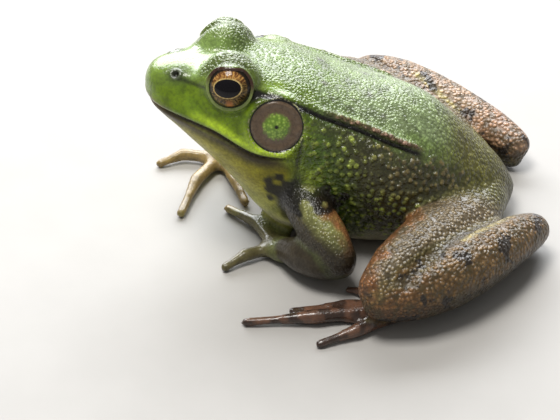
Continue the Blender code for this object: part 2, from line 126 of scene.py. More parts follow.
# What is painted on the left side, and mirrored. FLANK_EDGE is the upper edge of the dark flank.
FLANK_EDGE = SIDE_GROOVE[:-1] + ((11.5, 16.5, 21.0), (9.5, 21.5, 18.0), (8.0, 28.0, 13.0))
# EAR_BAND carries black painted shade under the fold, from the eye to the ear.
EAR_BAND = ((10.4, -19.5, 36.9), (12.0, -15.2, 36.3), (13.3, -11.2, 34.4))
# NECK_LINE runs down the crease behind the ear, with a thin line of painted shade in it.
NECK_LINE = ((15.5, -10.9, 28.8), (15.7, -11.9, 24.0), (15.6, -12.3, 18.9))
SHOULDER = (15.8, -9.0, 20.4)
SHOULDER_PATCH = ((15.1, -15.5, 16.2), (18.2, -9.3, 16.8), (18.0, -5.3, 15.3))
# ARMPIT_LINE is where painted shade lies between the upper arm and the chest.
ARMPIT_LINE = ((15.2, -15.6, 15.0), (14.5, -15.0, 12.9), (13.0, -13.8, 9.0))
KNEE = (41, 3, 11)
KNEE_MARK = ((28.0, -0.5, 9.0), (34.0, -3.6, 10.0), (39.6, -3.2, 9.0), (42.2, 0.6, 6.0))
HEEL = (18.5, 35.5, 6.5)
SHANK_STRIPE = ((30.5, 19.2, 13.5), (25.0, 25.2, 12.6), (17.6, 32.8, 9.8))
RIGHT_STRIPE = ((31.0, 19.0, 13.4), (20.5, 26.8, 10.0))  # of the right shank only
BACK_SPOTS = ((4.5, -5.4, 34.7), (5.4, -10.4, 36.7), (4.1, 3.7, 31.1), (0.6, -12.5, 37.9), (8.6, 6.0, 29.0))

# How the flesh becomes one skin: each node is moved out before they are joined, and the skin back in.
FLESH_GROWN = 0.35
SKIN_DRAWN_IN, DIGITS_DRAWN_IN = 0.28, 0.20
UNEVEN_SIZE, UNEVEN_HEIGHT = 2.3, 3.8  # of the waves along the edges of painted patches
LAYERS = ("tint", "wart_tint", "grainy", "warty", "wet", "spotted", "coarse")  # of a Coat

# Sizes of the clouds in the colours, from the broad clouds of the back to the fibres of the iris.
BLOTCH_SIZE, BROAD_SIZE, MOTTLE_SIZE = 3.7, 2.86, 1.82
FINE_SIZE, BEAD_SIZE = 0.625, 0.45
IRIS_SPECK_SIZE, IRIS_FIBRE_SIZE = 0.31, 0.11

# The stage.
FLOOR_HALF, FLOOR_GRAIN = 3, 1 / 60
WINDOW_PLACE, WINDOW_SIZE = (-0.60, 0.0, 0.40), (0.95, 0.5)
LAMP_PLACE, LAMP_SIZE = (0.02, -0.16, 0.75), (0.3, 0.3)
LIGHT_AIM = Vector((0, 0, 0.02))
CAMERA_LENS = 133.2
CAMERA_AZIMUTH, CAMERA_ELEVATION = math.radians(84.74), math.radians(35.33)
CAMERA_DISTANCE = 0.42
CAMERA_AIM = (8.87, 9.39, -29.41)  # from the point midway between the eyes, in millimetres

# The point midway between the eyes, from which everything on the head is measured.
EYE_CORNERS = [corner for name in EYE_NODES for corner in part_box(name)]
EYE_MIDDLE = np.array(sum(EYE_CORNERS, Vector()) / len(EYE_CORNERS)) / MM


def in_head(points):
    """These points of the scene, in millimetres, as (out, forward, up) in the head's frame."""
    moved = points - EYE_MIDDLE
    c, s = math.cos(HEAD_PITCH), math.sin(HEAD_PITCH)
    forward = -c * moved[:, 1] + s * moved[:, 2] + MIDDLE_FORWARD
    up = s * moved[:, 1] + c * moved[:, 2] + MIDDLE_UP
    return np.stack((moved[:, 0], forward, up), axis=1)


def from_head(points):
    """The reverse of in_head."""
    c, s = math.cos(HEAD_PITCH), math.sin(HEAD_PITCH)
    forward, up = points[:, 1] - MIDDLE_FORWARD, points[:, 2] - MIDDLE_UP
    moved = np.stack((points[:, 0], -c * forward + s * up, s * forward + c * up), axis=1)
    return moved + EYE_MIDDLE


def point_from_head(point):
    return from_head(np.array([point], float))[0]


def turned_with_head(direction):
    """A direction of the head's frame, in the scene."""
    return point_from_head(direction) - point_from_head((0, 0, 0))


def on_side(point, side):
    """A point or direction of the left side, on this side."""
    return np.array((point[0] * side, point[1], point[2]))


def on_left(points):
    """These points, with those of the right side folded onto the left."""
    folded = points.copy()
    folded[:, 0] = abs(folded[:, 0])
    return folded


def far_from(points, place):
    """How far each point is from this place."""
    return np.linalg.norm(points - place, axis=1)


def ramp(value, low, high):
    """0 below low and 1 above high, with a smooth change between."""
    t = np.clip((value - low) / (high - low), 0, 1)
    return t * t * (3 - 2 * t)


def hump(value, middle, width):
    """1 at the middle, falling off on both sides."""
    return np.exp(-(((value - middle) / width) ** 2))


def line_distance(points, line):
    """How far each point is from this line, how far along it in shares, and the way from it."""
    line = np.array(line, float)
    best = np.full(len(points), 1e9)
    along = np.zeros(len(points))
    offset = np.zeros((len(points), 3))
    for i, (a, b) in enumerate(zip(line, line[1:])):
        way = b - a
        t = np.clip(((points - a) @ way) / (way @ way), 0, 1)
        away = points - (a + t[:, None] * way)
        distance = np.linalg.norm(away, axis=1)
        nearer = distance < best
        best[nearer], along[nearer] = distance[nearer], (i + t[nearer]) / (len(line) - 1)
        offset[nearer] = away[nearer]
    return best, along, offset


class Surface:
    """The skin's points in millimetres, with what sculpting needs to know of the mesh."""

    def __init__(self, mesh):
        self.mesh = mesh
        count = len(mesh.vertices)
        flat = np.empty(count * 3, np.float32)
        mesh.vertices.foreach_get("co", flat)
        self.points = flat.reshape(-1, 3).astype(float) / MM
        ends = np.empty(len(mesh.edges) * 2, np.int32)
        mesh.edges.foreach_get("vertices", ends)
        self.ends = ends.reshape(-1, 2)
        self.valence = np.bincount(self.ends.ravel(), minlength=count)

    def write(self):
        self.mesh.vertices.foreach_set("co", (self.points * MM).astype(np.float32).ravel())
        self.mesh.update()

    def normals(self):
        """Each point's outward direction, as the points stand now."""
        self.write()
        flat = np.empty(len(self.points) * 3, np.float32)
        self.mesh.vertices.foreach_get("normal", flat)
        return flat.reshape(-1, 3).astype(float)

    def raise_by(self, height):
        """Moves each point outwards by its own height."""
        self.points += self.normals() * height[:, None]

    def neighbours_mean(self, values):
        """The mean of each point's neighbours, for one value a point or several."""
        a, b = self.ends.T
        count = len(values)
        columns = values.reshape(count, -1).T
        summed = [np.bincount(a, c[b], count) + np.bincount(b, c[a], count) for c in columns]
        return (np.stack(summed, axis=1) / self.valence[:, None]).reshape(values.shape)

    def spread(self, values, rounds):
        """The values after they have run into their neighbours this many times."""
        values = values.astype(float)
        for _ in range(rounds):
            values = (values + self.neighbours_mean(values)) / 2
        return values

    def smooth(self, amount, rounds, swell_back=0.0):
        """Evens out the shape by each point's own amount, and swells back what that shrinks."""
        for _ in range(rounds):
            for share in (0.5, -swell_back):
                if share:
                    shift = self.neighbours_mean(self.points) - self.points
                    self.points += shift * amount[:, None] * share


def merged_copy(name, grow):
    """A CAD node's shape with its loose triangles joined, moved out by grow millimetres."""
    shape = bmesh.new()
    shape.from_mesh(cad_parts[name].data)
    bmesh.ops.remove_doubles(shape, verts=shape.verts, dist=0.001 * MM)
    shape.normal_update()
    for vert, normal in [(v, v.normal.copy()) for v in shape.verts]:
        vert.co += normal * grow * MM
    mesh = bpy.data.meshes.new(name + "_copy")
    shape.to_mesh(mesh)
    shape.free()
    return mesh


def joined_flesh(grow):
    """One mesh of all the flesh nodes and the eyeballs, and the node that each face comes from."""
    shape = bmesh.new()
    owners = []
    for index, name in enumerate(FLESH + list(EYE_NODES)):
        mesh = merged_copy(name, grow)
        shape.from_mesh(mesh)
        owners += [index] * len(mesh.polygons)
        bpy.data.meshes.remove(mesh)
    return shape, owners


def drop_strays(mesh):
    """Deletes the tiny shells that remeshing can leave inside the skin."""
    shape = bmesh.new()
    shape.from_mesh(mesh)
    left, shells = set(shape.verts), []
    while left:
        shell = [left.pop()]
        for vert in shell:
            nearby = {edge.other_vert(vert) for edge in vert.link_edges} & left
            left -= nearby
            shell.extend(nearby)
        shells.append(shell)
    shells.sort(key=len)
    strays = [vert for shell in shells[:-1] for vert in shell]
    bmesh.ops.delete(shape, geom=strays, context="VERTS")
    shape.to_mesh(mesh)
    shape.free()


def remeshed(shape, voxel):
    """This closed shape as one skin of even small faces."""
    mesh = bpy.data.meshes.new("frog_skin")
    shape.to_mesh(mesh)
    holder = bpy.data.objects.new("remeshing", mesh)
    bpy.context.scene.collection.objects.link(holder)
    step = holder.modifiers.new("one skin", "REMESH")
    step.mode = "VOXEL"
    step.voxel_size = voxel * MM
    graph = bpy.context.evaluated_depsgraph_get()
    made = bpy.data.meshes.new_from_object(holder.evaluated_get(graph))
    bpy.data.objects.remove(holder)
    bpy.data.meshes.remove(mesh)
    drop_strays(made)
    return made


def node_of_each(points, tree, owners):
    """The index of the node that each point lies nearest to."""
    return np.array([owners[tree.find_nearest(Vector(p) * MM)[2]] for p in points])


def belongs(owner, *names):
    """Which points belong to nodes whose names start with one of these, as 1 or 0."""
    wanted = [i for i, node in enumerate(FLESH + list(EYE_NODES)) if node.startswith(names)]
    return np.isin(owner, wanted).astype(float)


def around_eye(points, side):
    """For points in the head's frame: the way from the eye's centre, the distance, and how far
    outside the opening of the lids each lies, measured along the ball."""
    away = points - on_side(EYE_IN_HEAD, side)
    distance = np.maximum(np.linalg.norm(away, axis=1), 1e-6)
    cosine = (away @ on_side(EYE_AXIS, side)) / distance
    round_edge = (np.arccos(np.clip(cosine, -1, 1)) - LID_ANGLE) * EYE_RADIUS
    top_edge = (away @ on_side(LID_UP, side)) / distance * EYE_RADIUS - LID_TOP
    return away, distance, np.logaddexp(round_edge * 4, top_edge * 4) / 4


def around_ear(points):
    """For points in the head's frame: the distance from the nearer ear's axis, the height over its
    middle, and the place across its disc and up it."""
    away = on_left(points) - EAR_IN_HEAD
    height = away @ EAR_AXIS
    flat = away - height[:, None] * EAR_AXIS
    up = unit(*(np.array((0, 0, 1)) - EAR_AXIS[2] * EAR_AXIS))
    across = np.cross(up, EAR_AXIS)
    return np.linalg.norm(flat, axis=1), height, flat @ across, flat @ up


def mouth_bend(forward):
    """How far the line of the mouth leaves its plane, upwards, at each place along the head."""
    bend = np.full(len(forward), MOUTH_TURNS[0][1])
    for (start, low), (end, high) in zip(MOUTH_TURNS, MOUTH_TURNS[1:]):
        bend += (high - low) * ramp(forward, start, end)
    return bend


def mouth_height(points):
    """How far above the line of the mouth each point of the head's frame is."""
    return (points - MOUTH_POINT) @ MOUTH_NORMAL - mouth_bend(points[:, 1])


def bend_mouth(skin, way):
    """Moves every point so that the line of the mouth lies in its plane, or with way -1 puts it back."""
    points = in_head(skin.points)
    points[:, 2] -= way * mouth_bend(points[:, 1])
    skin.points = from_head(points)
    skin.write()


def set_from_eye(skin, side, away, target, chosen):
    """Moves the chosen points straight to or from the eye's centre, to their target distances."""
    distance = np.maximum(np.linalg.norm(away, axis=1), 1e-6)
    moved = on_side(EYE_IN_HEAD, side) + away * (target / distance)[:, None]
    skin.points[chosen] = from_head(moved)[chosen]


def seat_eyes(skin):
    """Brings the skin round each eye onto the ball, so that the lids hug it."""
    for _, side in SIDES:
        away, distance, outside = around_eye(in_head(skin.points), side)
        reach = 1.7 + 1.7 * ramp(away[:, 2], -1.5, 2.0)
        hold = (1 - ramp(outside, 0.3, reach)) * (1 - ramp(distance, EYE_RADIUS + 1.8, EYE_RADIUS + 3.2))
        target = distance + (LID_RADIUS - distance) * hold
        set_from_eye(skin, side, away, target, (hold > 0) & (outside < 4))
        skin.smooth(hump(outside, 1.8, 1.4) * (distance < EYE_RADIUS + 4), rounds=12)
        raise_dome(skin, side)


def raise_dome(skin, side):
    """Fills out the round upper lid over the eyeball, down to the crease where it meets the head."""
    away, distance, outside = around_eye(in_head(skin.points), side)
    wanted = LID_RADIUS + LID_THICKNESS * ramp(outside, 0.3, 4.0)
    upward = ramp(away[:, 2] / distance, 0.0, 0.4)
    lift = np.clip(wanted - distance, 0, 2.5) * upward * (outside > 0)
    set_from_eye(skin, side, away, distance + lift, lift > 0)
    skin.smooth(ramp(lift, 0.0, 0.4) * 0.5, rounds=3)


def lift_ears(skin, height, lift):
    """Moves the skin at the ears, whose height over them is known, by this much along each ear's axis."""
    points = in_head(skin.points)
    near = (abs(height) < EAR_DEPTH) & (abs(points[:, 0]) > EAR_INNER)
    axis = np.where(points[:, :1] > 0, EAR_AXIS, on_side(EAR_AXIS, -1))
    skin.points = from_head(points + axis * (lift * near)[:, None])


def seat_ears(skin):
    """Flattens the skin over each ear."""
    radius, height, _, _ = around_ear(in_head(skin.points))
    hold = 1 - ramp(radius, EAR_RADIUS, EAR_RADIUS + 1.6)
    lift_ears(skin, height, (EAR_FACE - height) * hold)


def refine(skin, wanted):
    """Halves the faces whose points are all wanted."""
    shape = bmesh.new()
    shape.from_mesh(skin.mesh)
    shape.verts.ensure_lookup_table()
    marks = wanted(skin.points)
    edges = [e for e in shape.edges if marks[e.verts[0].index] and marks[e.verts[1].index]]
    bmesh.ops.subdivide_edges(shape, edges=edges, cuts=1, use_grid_fill=True, smooth=0.5)
    shape.to_mesh(skin.mesh)
    shape.free()
    skin.mesh.update()
    return Surface(skin.mesh)


def cut_loops(skin, cuts):
    """Adds loops of edges where these planes, each with the test that picks its faces, meet the skin."""
    shape = bmesh.new()
    shape.from_mesh(skin.mesh)
    for point, normal, near in cuts:
        faces = list(shape.faces)
        centres = np.array([face.calc_center_median() for face in faces]) / MM
        faces = [faces[i] for i in np.flatnonzero(near(centres))]
        geom = list({v for f in faces for v in f.verts}) + list({e for f in faces for e in f.edges}) + faces
        bmesh.ops.bisect_plane(
            shape, geom=geom, plane_co=Vector(point) * MM, plane_no=Vector(normal), dist=0.02 * MM
        )
    shape.to_mesh(skin.mesh)
    shape.free()
    skin.mesh.update()
    return Surface(skin.mesh)


def mouth_cuts():
    """The planes along the closed mouth: its crease and both sides of it."""
    cuts = []
    for rise in MOUTH_LOOPS:

        def near(points, rise=rise):
            head = in_head(points)
            height = (head - MOUTH_POINT) @ MOUTH_NORMAL
            return (abs(height - rise) < 0.6) & (head[:, 1] > -0.6) & (head[:, 2] > HEAD_LOW)

        point = point_from_head(MOUTH_POINT + MOUTH_NORMAL * rise)
        cuts.append((point, turned_with_head(MOUTH_NORMAL), near))
    return cuts


def lid_cuts():
    """The planes whose circles on the eyeball are the edge and the rim of the lids."""
    cuts = []
    for _, side in SIDES:
        centre = point_from_head(on_side(EYE_IN_HEAD, side))
        axis = turned_with_head(on_side(EYE_AXIS, side))
        top = turned_with_head(on_side(LID_UP, side))
        for outside in LID_LOOPS:
            reach = LID_RADIUS * math.cos(LID_ANGLE + outside / EYE_RADIUS)
            level = (LID_TOP + outside) * LID_RADIUS / EYE_RADIUS

            def near(points, centre=centre, axis=axis, reach=reach):
                close = far_from(points, centre) < EYE_RADIUS + 1.2
                return close & (abs((points - centre) @ axis - reach) < 1.2)

            def near_top(points, centre=centre, axis=axis, top=top, level=level):
                away = points - centre
                close = far_from(points, centre) < EYE_RADIUS + 1.2
                return close & (abs(away @ top - level) < 1.0) & (away @ axis > 1.8)

            cuts.append((centre + axis * reach, axis, near))
            cuts.append((centre + top * level, top, near_top))
    return cuts


def shape_lids(skin, rim_height):
    """Sinks the skin under each eyeball and raises the rim of the lids round it."""
    for _, side in SIDES:
        away, distance, outside = around_eye(in_head(skin.points), side)
        rim = rim_height * hump(outside, 0.35, 0.4)
        crease = -0.3 * hump(outside, 1.35, 0.45) * ramp(-outside, -2.4, -1.0)
        crease *= ramp(abs(away[:, 2] / distance), 0.0, 0.5)
        target = np.where(outside < 0, EYE_RADIUS - 0.35, distance + (rim + crease) * (outside > 0))
        set_from_eye(skin, side, away, target, (distance < EYE_RADIUS + 1.5) & (outside < 3))


def shape_ears(skin):
    """The sunken ring round each eardrum, its flat disc and its raised middle."""
    radius, height, _, _ = around_ear(in_head(skin.points))
    middle = 0.45 * (1 - ramp(radius, 0.4, 2.9))
    hollow = -0.12 * hump(radius, 3.7, 0.9)
    groove = -0.4 * hump(radius, EAR_RADIUS + 0.05, 0.32)
    lip = 0.28 * hump(radius, EAR_RADIUS + 0.75, 0.45)
    lift_ears(skin, height, middle + hollow + groove + lip)


def shape_mouth(skin):
    """The closed mouth: a crease under a full upper lip, running back to the corner below the ear."""
    points = in_head(skin.points)
    height, forward = mouth_height(points), points[:, 1]
    on_head = (points[:, 2] > HEAD_LOW) & (forward > -3)
    along = ramp(forward, -0.8, 2.5) * on_head
    crease = -0.5 * hump(height, 0, 0.3)
    lip = 0.3 * hump(height, 1.1, 0.7) * ramp(forward, 0, 6)
    chin = 0.14 * hump(height, -0.9, 0.6)
    corner = 0.5 * hump(height, 0.9, 1.0) * hump(forward, 1.4, 2.6)
    skin.raise_by((crease + lip + chin + corner) * along * (abs(height) < 4))


def shape_nostrils(skin):
    """Two small pits, each in a low ring."""
    distance = far_from(on_left(in_head(skin.points)), NOSTRIL_IN_HEAD)
    skin.raise_by(-0.8 * hump(distance, 0, 0.45) + 0.16 * hump(distance, 0.9, 0.35))


def over_groove(points):
    """Height over the groove of the side, place along it in shares, and whether it is near."""
    distance, along, offset = line_distance(points, SIDE_GROOVE)
    return offset @ unit(-0.5, 0, 0.85), along, distance < GROOVE_REACH


def shape_folds(skin):
    """The folds along the back and behind the ear, the brow, the pouch under the eye, the hollow of the
    snout, and the crease between thigh and shank."""
    folded = on_left(skin.points)
    above, along, near = over_groove(folded)
    ends = ramp(along, 0.0, 0.12) * (1 - ramp(along, 0.86, 1.0))
    ridge = (0.2 + 0.6 * ramp(along, 0.35, 0.6)) * hump(above, 1.0, 0.55) * ends * near
    under = -0.42 * hump(above, 0, 0.42) * ends * near
    from_ear_fold, ear_fold_along, _ = line_distance(folded, EAR_FOLD)
    ear_ridge = 0.35 * hump(from_ear_fold, 0, 0.8) * (1 - ramp(ear_fold_along, 0.6, 1))
    head = in_head(folded)
    hollow = -0.35 * hump(far_from(head, SNOUT_HOLLOW), 0, 2.6)
    brow = 0.3 * hump(line_distance(head, BROW)[0], 0, 0.9)
    pouch = 0.3 * hump(line_distance(head, EYE_POUCH)[0], 0, 0.7)
    from_crease, crease_along, _ = line_distance(folded, LEG_CREASE)
    leg_crease = -1.3 * hump(from_crease, 0, 1.7) * (1 - ramp(crease_along, 0.37, 0.65))
    skin.raise_by(ridge + under + ear_ridge + hollow + brow + pouch + leg_crease)


def detailed(points):
    """Which points of the skin need smaller faces: the lids, ears, mouth, nostrils, folds and flanks."""
    folded = on_left(points)
    head = in_head(folded)
    _, distance, outside = around_eye(head, 1)
    lids = (abs(outside - 0.4) < 1.6) & (distance < EYE_RADIUS + 2)
    radius, height, _, _ = around_ear(head)
    ear = (radius < EAR_RADIUS + 1.5) & (abs(height) < EAR_DEPTH)
    mouth = (abs(mouth_height(head)) < 1.3) & (head[:, 1] > -2) & (head[:, 2] > HEAD_LOW)
    nostril = far_from(head, NOSTRIL_IN_HEAD) < 2
    fold = line_distance(folded, SIDE_GROOVE)[0] < 1.9
    x, y, z = folded.T
    flank = (x > 12) & (x < 19) & (y > -11) & (y < 16) & (z > 5) & (z < 29)
    return lids | ear | mouth | nostril | fold | flank


class Coat:
    """The colours and the finish painted on the skin, with one value for each of its points.

    tint is the colour between the warts and wart_tint theirs. The rest say how grainy, warty, wet and
    spotted the skin is, and how coarse its grains are. Places are folded onto the left side.
    """

    def __init__(self, skin, owner, colours):
        self.skin, self.owner, self.colours = skin, owner, colours
        self.left = ramp(skin.points[:, 0], -2, 2)
        self.place = on_left(skin.points)
        self.x, self.y, self.z = self.place.T
        self.head = in_head(self.place)
        self.out, self.forward, self.up = self.head.T
        self.mouth = mouth_height(self.head)
        self.normal = skin.normals()
        count = len(self.place)
        waves = [noise.noise(Vector(point) / UNEVEN_SIZE) for point in skin.points]
        self.uneven = np.array(waves) * UNEVEN_HEIGHT
        self.known = {}
        self.tint = np.zeros((count, 3))
        self.wart_tint = np.zeros((count, 3))
        self.grainy, self.wet = np.full(count, 0.75), np.full(count, 0.35)
        self.warty, self.spotted, self.coarse = np.zeros((3, count))

    def on(self, *names):
        """How much each point is part of the nodes whose names start with one of these."""
        if names not in self.known:
            self.known[names] = self.skin.spread(belongs(self.owner, *names), 4)
        return self.known[names]

    def paint(self, where, colour, layer="tint"):
        """Lays this colour over the layer, as strongly as where says for each point."""
        values = getattr(self, layer)
        share = np.clip(where, 0, 1) * np.ones(len(values))
        values += (np.array(getattr(self.colours, colour)) - values) * share[:, None]

    def stroke(self, line, width, soft):
        """1 within half the width of this line and 0 beyond its soft edge."""
        return 1 - ramp(line_distance(self.place, line)[0], (width - soft) / 2, (width + soft) / 2)

    def dab(self, centre, radius):
        """1 at this place, falling off within about this radius."""
        return hump(far_from(self.place, centre), 0, radius)

    def head_dab(self, centre, radius):
        """The same for a place in the head's frame."""
        return hump(far_from(self.head, centre), 0, radius)

    def save(self):
        """Keeps in the mesh the layers and the measures that the skin's material reads."""
        _, height, ear_across, ear_up = around_ear(self.head)
        away, distance, outside = around_eye(self.head, 1)
        kept = {name: getattr(self, name) for name in LAYERS}
        kept["place"] = self.skin.points
        kept["ear"] = np.stack((ear_across, ear_up, height), axis=1)
        kept["lid"] = np.stack((outside, away[:, 2] / distance, distance), axis=1)
        for name, values in kept.items():
            store(self.skin.mesh, name, values)


def store(mesh, name, values):
    """Keeps one number, or a place or colour, for each point of the mesh, under this name."""
    flat = values.astype(np.float32).ravel()
    if values.ndim == 1:
        mesh.attributes.new(name, "FLOAT", "POINT").data.foreach_set("value", flat)
    else:
        mesh.attributes.new(name, "FLOAT_VECTOR", "POINT").data.foreach_set("vector", flat)


def paint_back(coat):
    """Green over the back with a painted sheen over its middle, olive on the rump with painted shade low at
    its rear, and dark warty flanks below the raised fold.
    """
    y, z = coat.y, coat.z
    trunk = coat.on("trunk")
    _, _, offset = line_distance(coat.place, FLANK_EDGE)
    above = offset @ unit(-0.45, 0, 0.89) + coat.uneven * 0.5
    coat.paint(1, "back")
    coat.paint(1, "wart", "wart_tint")
    coat.paint(trunk * ramp(y, 13, 24), "rump")
    to_rump = ramp(y, 3, 14)
    flank = ramp(-above, -0.2 - 2.5 * to_rump, 1.4 + 3 * to_rump)
    flank *= np.maximum(trunk, coat.on(*HEAD_NODES))
    flank *= ramp(y, -13, -9) * (1 - ramp(y, 20, 30))
    coat.paint(flank, "flank")
    coat.paint(flank * (1 - ramp(y + 0.25 * z, -3, 7)) * 0.85, "flank_green")
    coat.paint(flank * hump(above, -1.8, 1.6) * 0.6, "flank_top")
    coat.paint(ramp(y, -3, 8) * ramp(z + 0.3 * y, 14, 22), "wart_rear", "wart_tint")
    coat.paint(trunk * ramp(y, 20, 28) * 0.6, "rump")
    # Painted sheen: a paler green over the middle of the back.
    pale = trunk * ramp(y, -8, 4) * (1 - ramp(y, 15, 23)) * ramp(above, 0.5, 3.5)
    coat.paint(pale * 0.6, "back_sheen")
    # Painted shade on the low rear of the trunk, darker towards the bottom.
    coat.paint(trunk * ramp(y, 24, 30) * (1 - ramp(z, 8, 15)) * 0.6, "arm_shade")
    for spot in BACK_SPOTS:
        coat.paint(coat.dab(spot, 0.8) * trunk * 0.7, "spot")
    coat.warty = flank * ramp(z, 2, 5)
    coat.grainy *= 1 - 0.3 * flank
    coat.coarse = trunk * ramp(y, 6, 20)
    coat.spotted = trunk * (above > 1) * 0.35
    coat.wet = coat.wet * (1 - 0.7 * trunk * ramp(y, 12, 24)) + 0.2 * flank
    return flank


def paint_head(coat):
    """Lime sides, olive lids, dark marks behind the eye and before it, and the nostrils, with painted shade
    in their pits.
    """
    head = coat.on(*HEAD_NODES)
    side = head * ramp(coat.out - 0.55 * coat.up - 0.02 * coat.forward, 0.58, 2.38)
    side *= ramp(coat.mouth, -0.4, 0.4) * (1 - ramp(-coat.forward, 0.5, 4))
    coat.paint(side, "cheek")
    coat.paint(side * ramp(coat.uneven, 0.35, 0.9) * 0.3, "flank_green")
    coat.paint(head * ramp(coat.forward, 21, 27) * (coat.mouth > 0) * 0.7, "cheek")
    _, eye_distance, _ = around_eye(coat.head, 1)
    dome = (1 - ramp(eye_distance, EYE_RADIUS + 1.2, EYE_RADIUS + 2.6)) * ramp(coat.up, 8, 11)
    coat.paint(dome * 0.8, "lid")
    coat.paint(coat.head_dab(REAR_MARK, 1.7) * 1.1, "mark")
    coat.paint((1 - ramp(line_distance(coat.head, FRONT_MARK)[0], 0, 0.7)) * 0.8, "mark")
    coat.paint(coat.head_dab(NOSTRIL_IN_HEAD, 2.1) * 1.1, "nostril_patch")
    coat.paint(hump(far_from(coat.head, NOSTRIL_IN_HEAD), 0.95, 0.2) * 0.25, "nostril_rim")
    # Painted shade in the pit of each nostril.
    coat.paint(coat.head_dab(NOSTRIL_IN_HEAD, 0.7) * 1.5, "mark")
    radius, height, _, _ = around_ear(coat.head)
    under_ear = hump(radius, EAR_RADIUS + 0.9, 0.8) * (abs(height) < 3)
    coat.paint(under_ear * 0.5 * ramp(4 - coat.up, -3, 4), "lip")
    coat.grainy *= 1 - 0.75 * side * ramp(coat.forward, 0, 6)
    coat.grainy *= 1 - 0.85 * head * ramp(coat.forward, 13, 18) * (1 - dome)
    coat.wet += 0.2 * head
    coat.wet += 0.25 * head * ramp(coat.forward, 12, 18) * ramp(coat.normal[:, 2], 0.4, 0.8)


def paint_throat(coat):
    """Yellow throat, paler chest and cream belly, with a brown shade under the lip."""
    y, z = coat.y, coat.z
    neck = coat.on("trunk") * (1 - ramp(y, -14, -10.5)) * (1 - ramp(z, 15, 18))
    throat = np.maximum(coat.on("lower_jaw"), neck) * ramp(-coat.mouth, 0.0, 0.5)
    coat.paint(throat, "throat")
    coat.paint(throat * (1 - ramp(z, 8, 20)) * 0.9, "chest")
    coat.paint(throat * (1 - ramp(-coat.mouth, 1.0, 3.8)) * ramp(coat.forward, -5, 1), "lip_shade")
    facing_down = ramp(-coat.normal[:, 2], 0.25, 0.8)
    belly = facing_down * (1 - ramp(z, 5, 12)) * coat.on("trunk", "lower_jaw")
    coat.paint(belly, "belly")
    coat.grainy *= (1 - 0.85 * throat) * (1 - 0.8 * belly)
    coat.warty *= (1 - throat) * (1 - belly)
    coat.wet *= 1 - 0.8 * throat


def paint_mouth(coat):
    """The dark line of the mouth, the bright lip over it and the brown edge of the snout."""
    head = coat.on(*HEAD_NODES)
    along = ramp(coat.forward, -0.4, 2.0) * (coat.up > HEAD_LOW) * head
    coat.paint(hump(coat.mouth, 1.4, 0.9) * along * (1 - ramp(coat.forward, 16, 24)), "lip")
    coat.paint(hump(coat.mouth, -0.1, 0.45) * along, "mouth_line")
    coat.paint(hump(coat.mouth, 0.3, 1.0) * ramp(coat.forward, 24, 29) * head * 0.7, "snout_edge")
    coat.paint(coat.head_dab(MOUTH_CORNER, 1.7) * 0.8, "mouth_corner")


def paint_folds(coat, flank):
    """Black painted shade under the raised fold and from the eye to the ear, brown and pink beads on the
    fold's crest, and the fold behind the ear, with painted shade in its crease.
    """
    over, along, near = over_groove(coat.place)
    before_end = 1 - ramp(along, 0.93, 1.0)
    # Painted shade: black just under the raised fold.
    black = hump(over, -0.15, 0.55) * near * ramp(along, -0.02, 0.04) * before_end
    crest = hump(over, 0.95, 0.45) * near * ramp(along, 0.45, 0.6) * before_end
    coat.paint(crest * 0.85, "crest")
    coat.paint(crest * 1.5, "crest_bead", "wart_tint")
    coat.paint(black * 1.3, "mark")
    coat.warty = np.maximum(coat.warty, crest * 1.3) * (1 - 0.9 * np.clip(black, 0, 1))
    coat.paint(coat.stroke(NECK_LINE, 3.2, 2.2) * 0.6 * (1 - flank * 0.3), "cheek")
    # A thin line of painted shade in the crease behind the ear.
    coat.paint(coat.stroke(NECK_LINE, 0.7, 0.7) * 0.85, "mark")
    # Painted shade under the fold, from the eye to the ear.
    coat.paint(coat.stroke(EAR_BAND, 1.3, 0.7) * 0.95, "mark")


def paint_arms(coat):
    """Olive upper arms with painted light on top, a rusty rear edge and painted shade, forearms darkened with
    painted shade, and the black shoulder patches.
    """
    upper, forearm = coat.on("upper_arm"), coat.on("forearm")
    hand = coat.skin.spread(coat.on("hand"), 40)
    _, rearward, up = coat.normal.T
    coat.paint(upper, "arm_middle")
    # Painted light: the upward-facing tops of the upper arms lighter than their olive sides.
    coat.paint(upper * ramp(up, 0.25, 0.85), "arm_top_lit")
    coat.paint(upper * ramp(rearward + coat.uneven * 0.2, 0.0, 0.7) * ramp(coat.x, 16, 20), "arm_edge")
    # Painted shade in front of the upper arms and below them, and on the forearms, whose brown it darkens.
    coat.paint(upper * ramp(-rearward, 0.35, 0.9) * (1 - ramp(coat.x, 19, 22)) * 0.8, "arm_shade")
    coat.paint(upper * (1 - ramp(coat.z, 9, 14)), "arm_shade")
    coat.paint(forearm, "arm_shade")
    # Painted light on the right forearm.
    coat.paint(forearm * (1 - coat.left) * 0.4, "arm_top_lit")
    # The hands are shaded and lit copies of one colour: the left darker with painted shade, the right lighter
    # with painted light.
    coat.paint(hand * coat.left, "hand_left")
    coat.paint(hand * (1 - coat.left), "hand_right")
    coat.grainy *= (1 - 0.3 * upper) * (1 - 0.8 * forearm) * (1 - 0.9 * hand)
    coat.wet += 0.1 * hand - 0.2 * forearm
    # Painted shade where the upper arm meets the chest.
    coat.paint(coat.stroke(ARMPIT_LINE, 2.4, 1.6) * 0.8, "mark")
    patch = ramp(coat.uneven - line_distance(coat.place, SHOULDER_PATCH)[0], -3.2, -2.2)
    coat.paint(patch * 0.96, "mark")
    coat.paint(patch * 0.5, "flank_green", "wart_tint")
    coat.warty *= 1 - 0.5 * patch
    coat.paint(coat.dab(SHOULDER, 2.0) * 0.9, "mouth_corner")


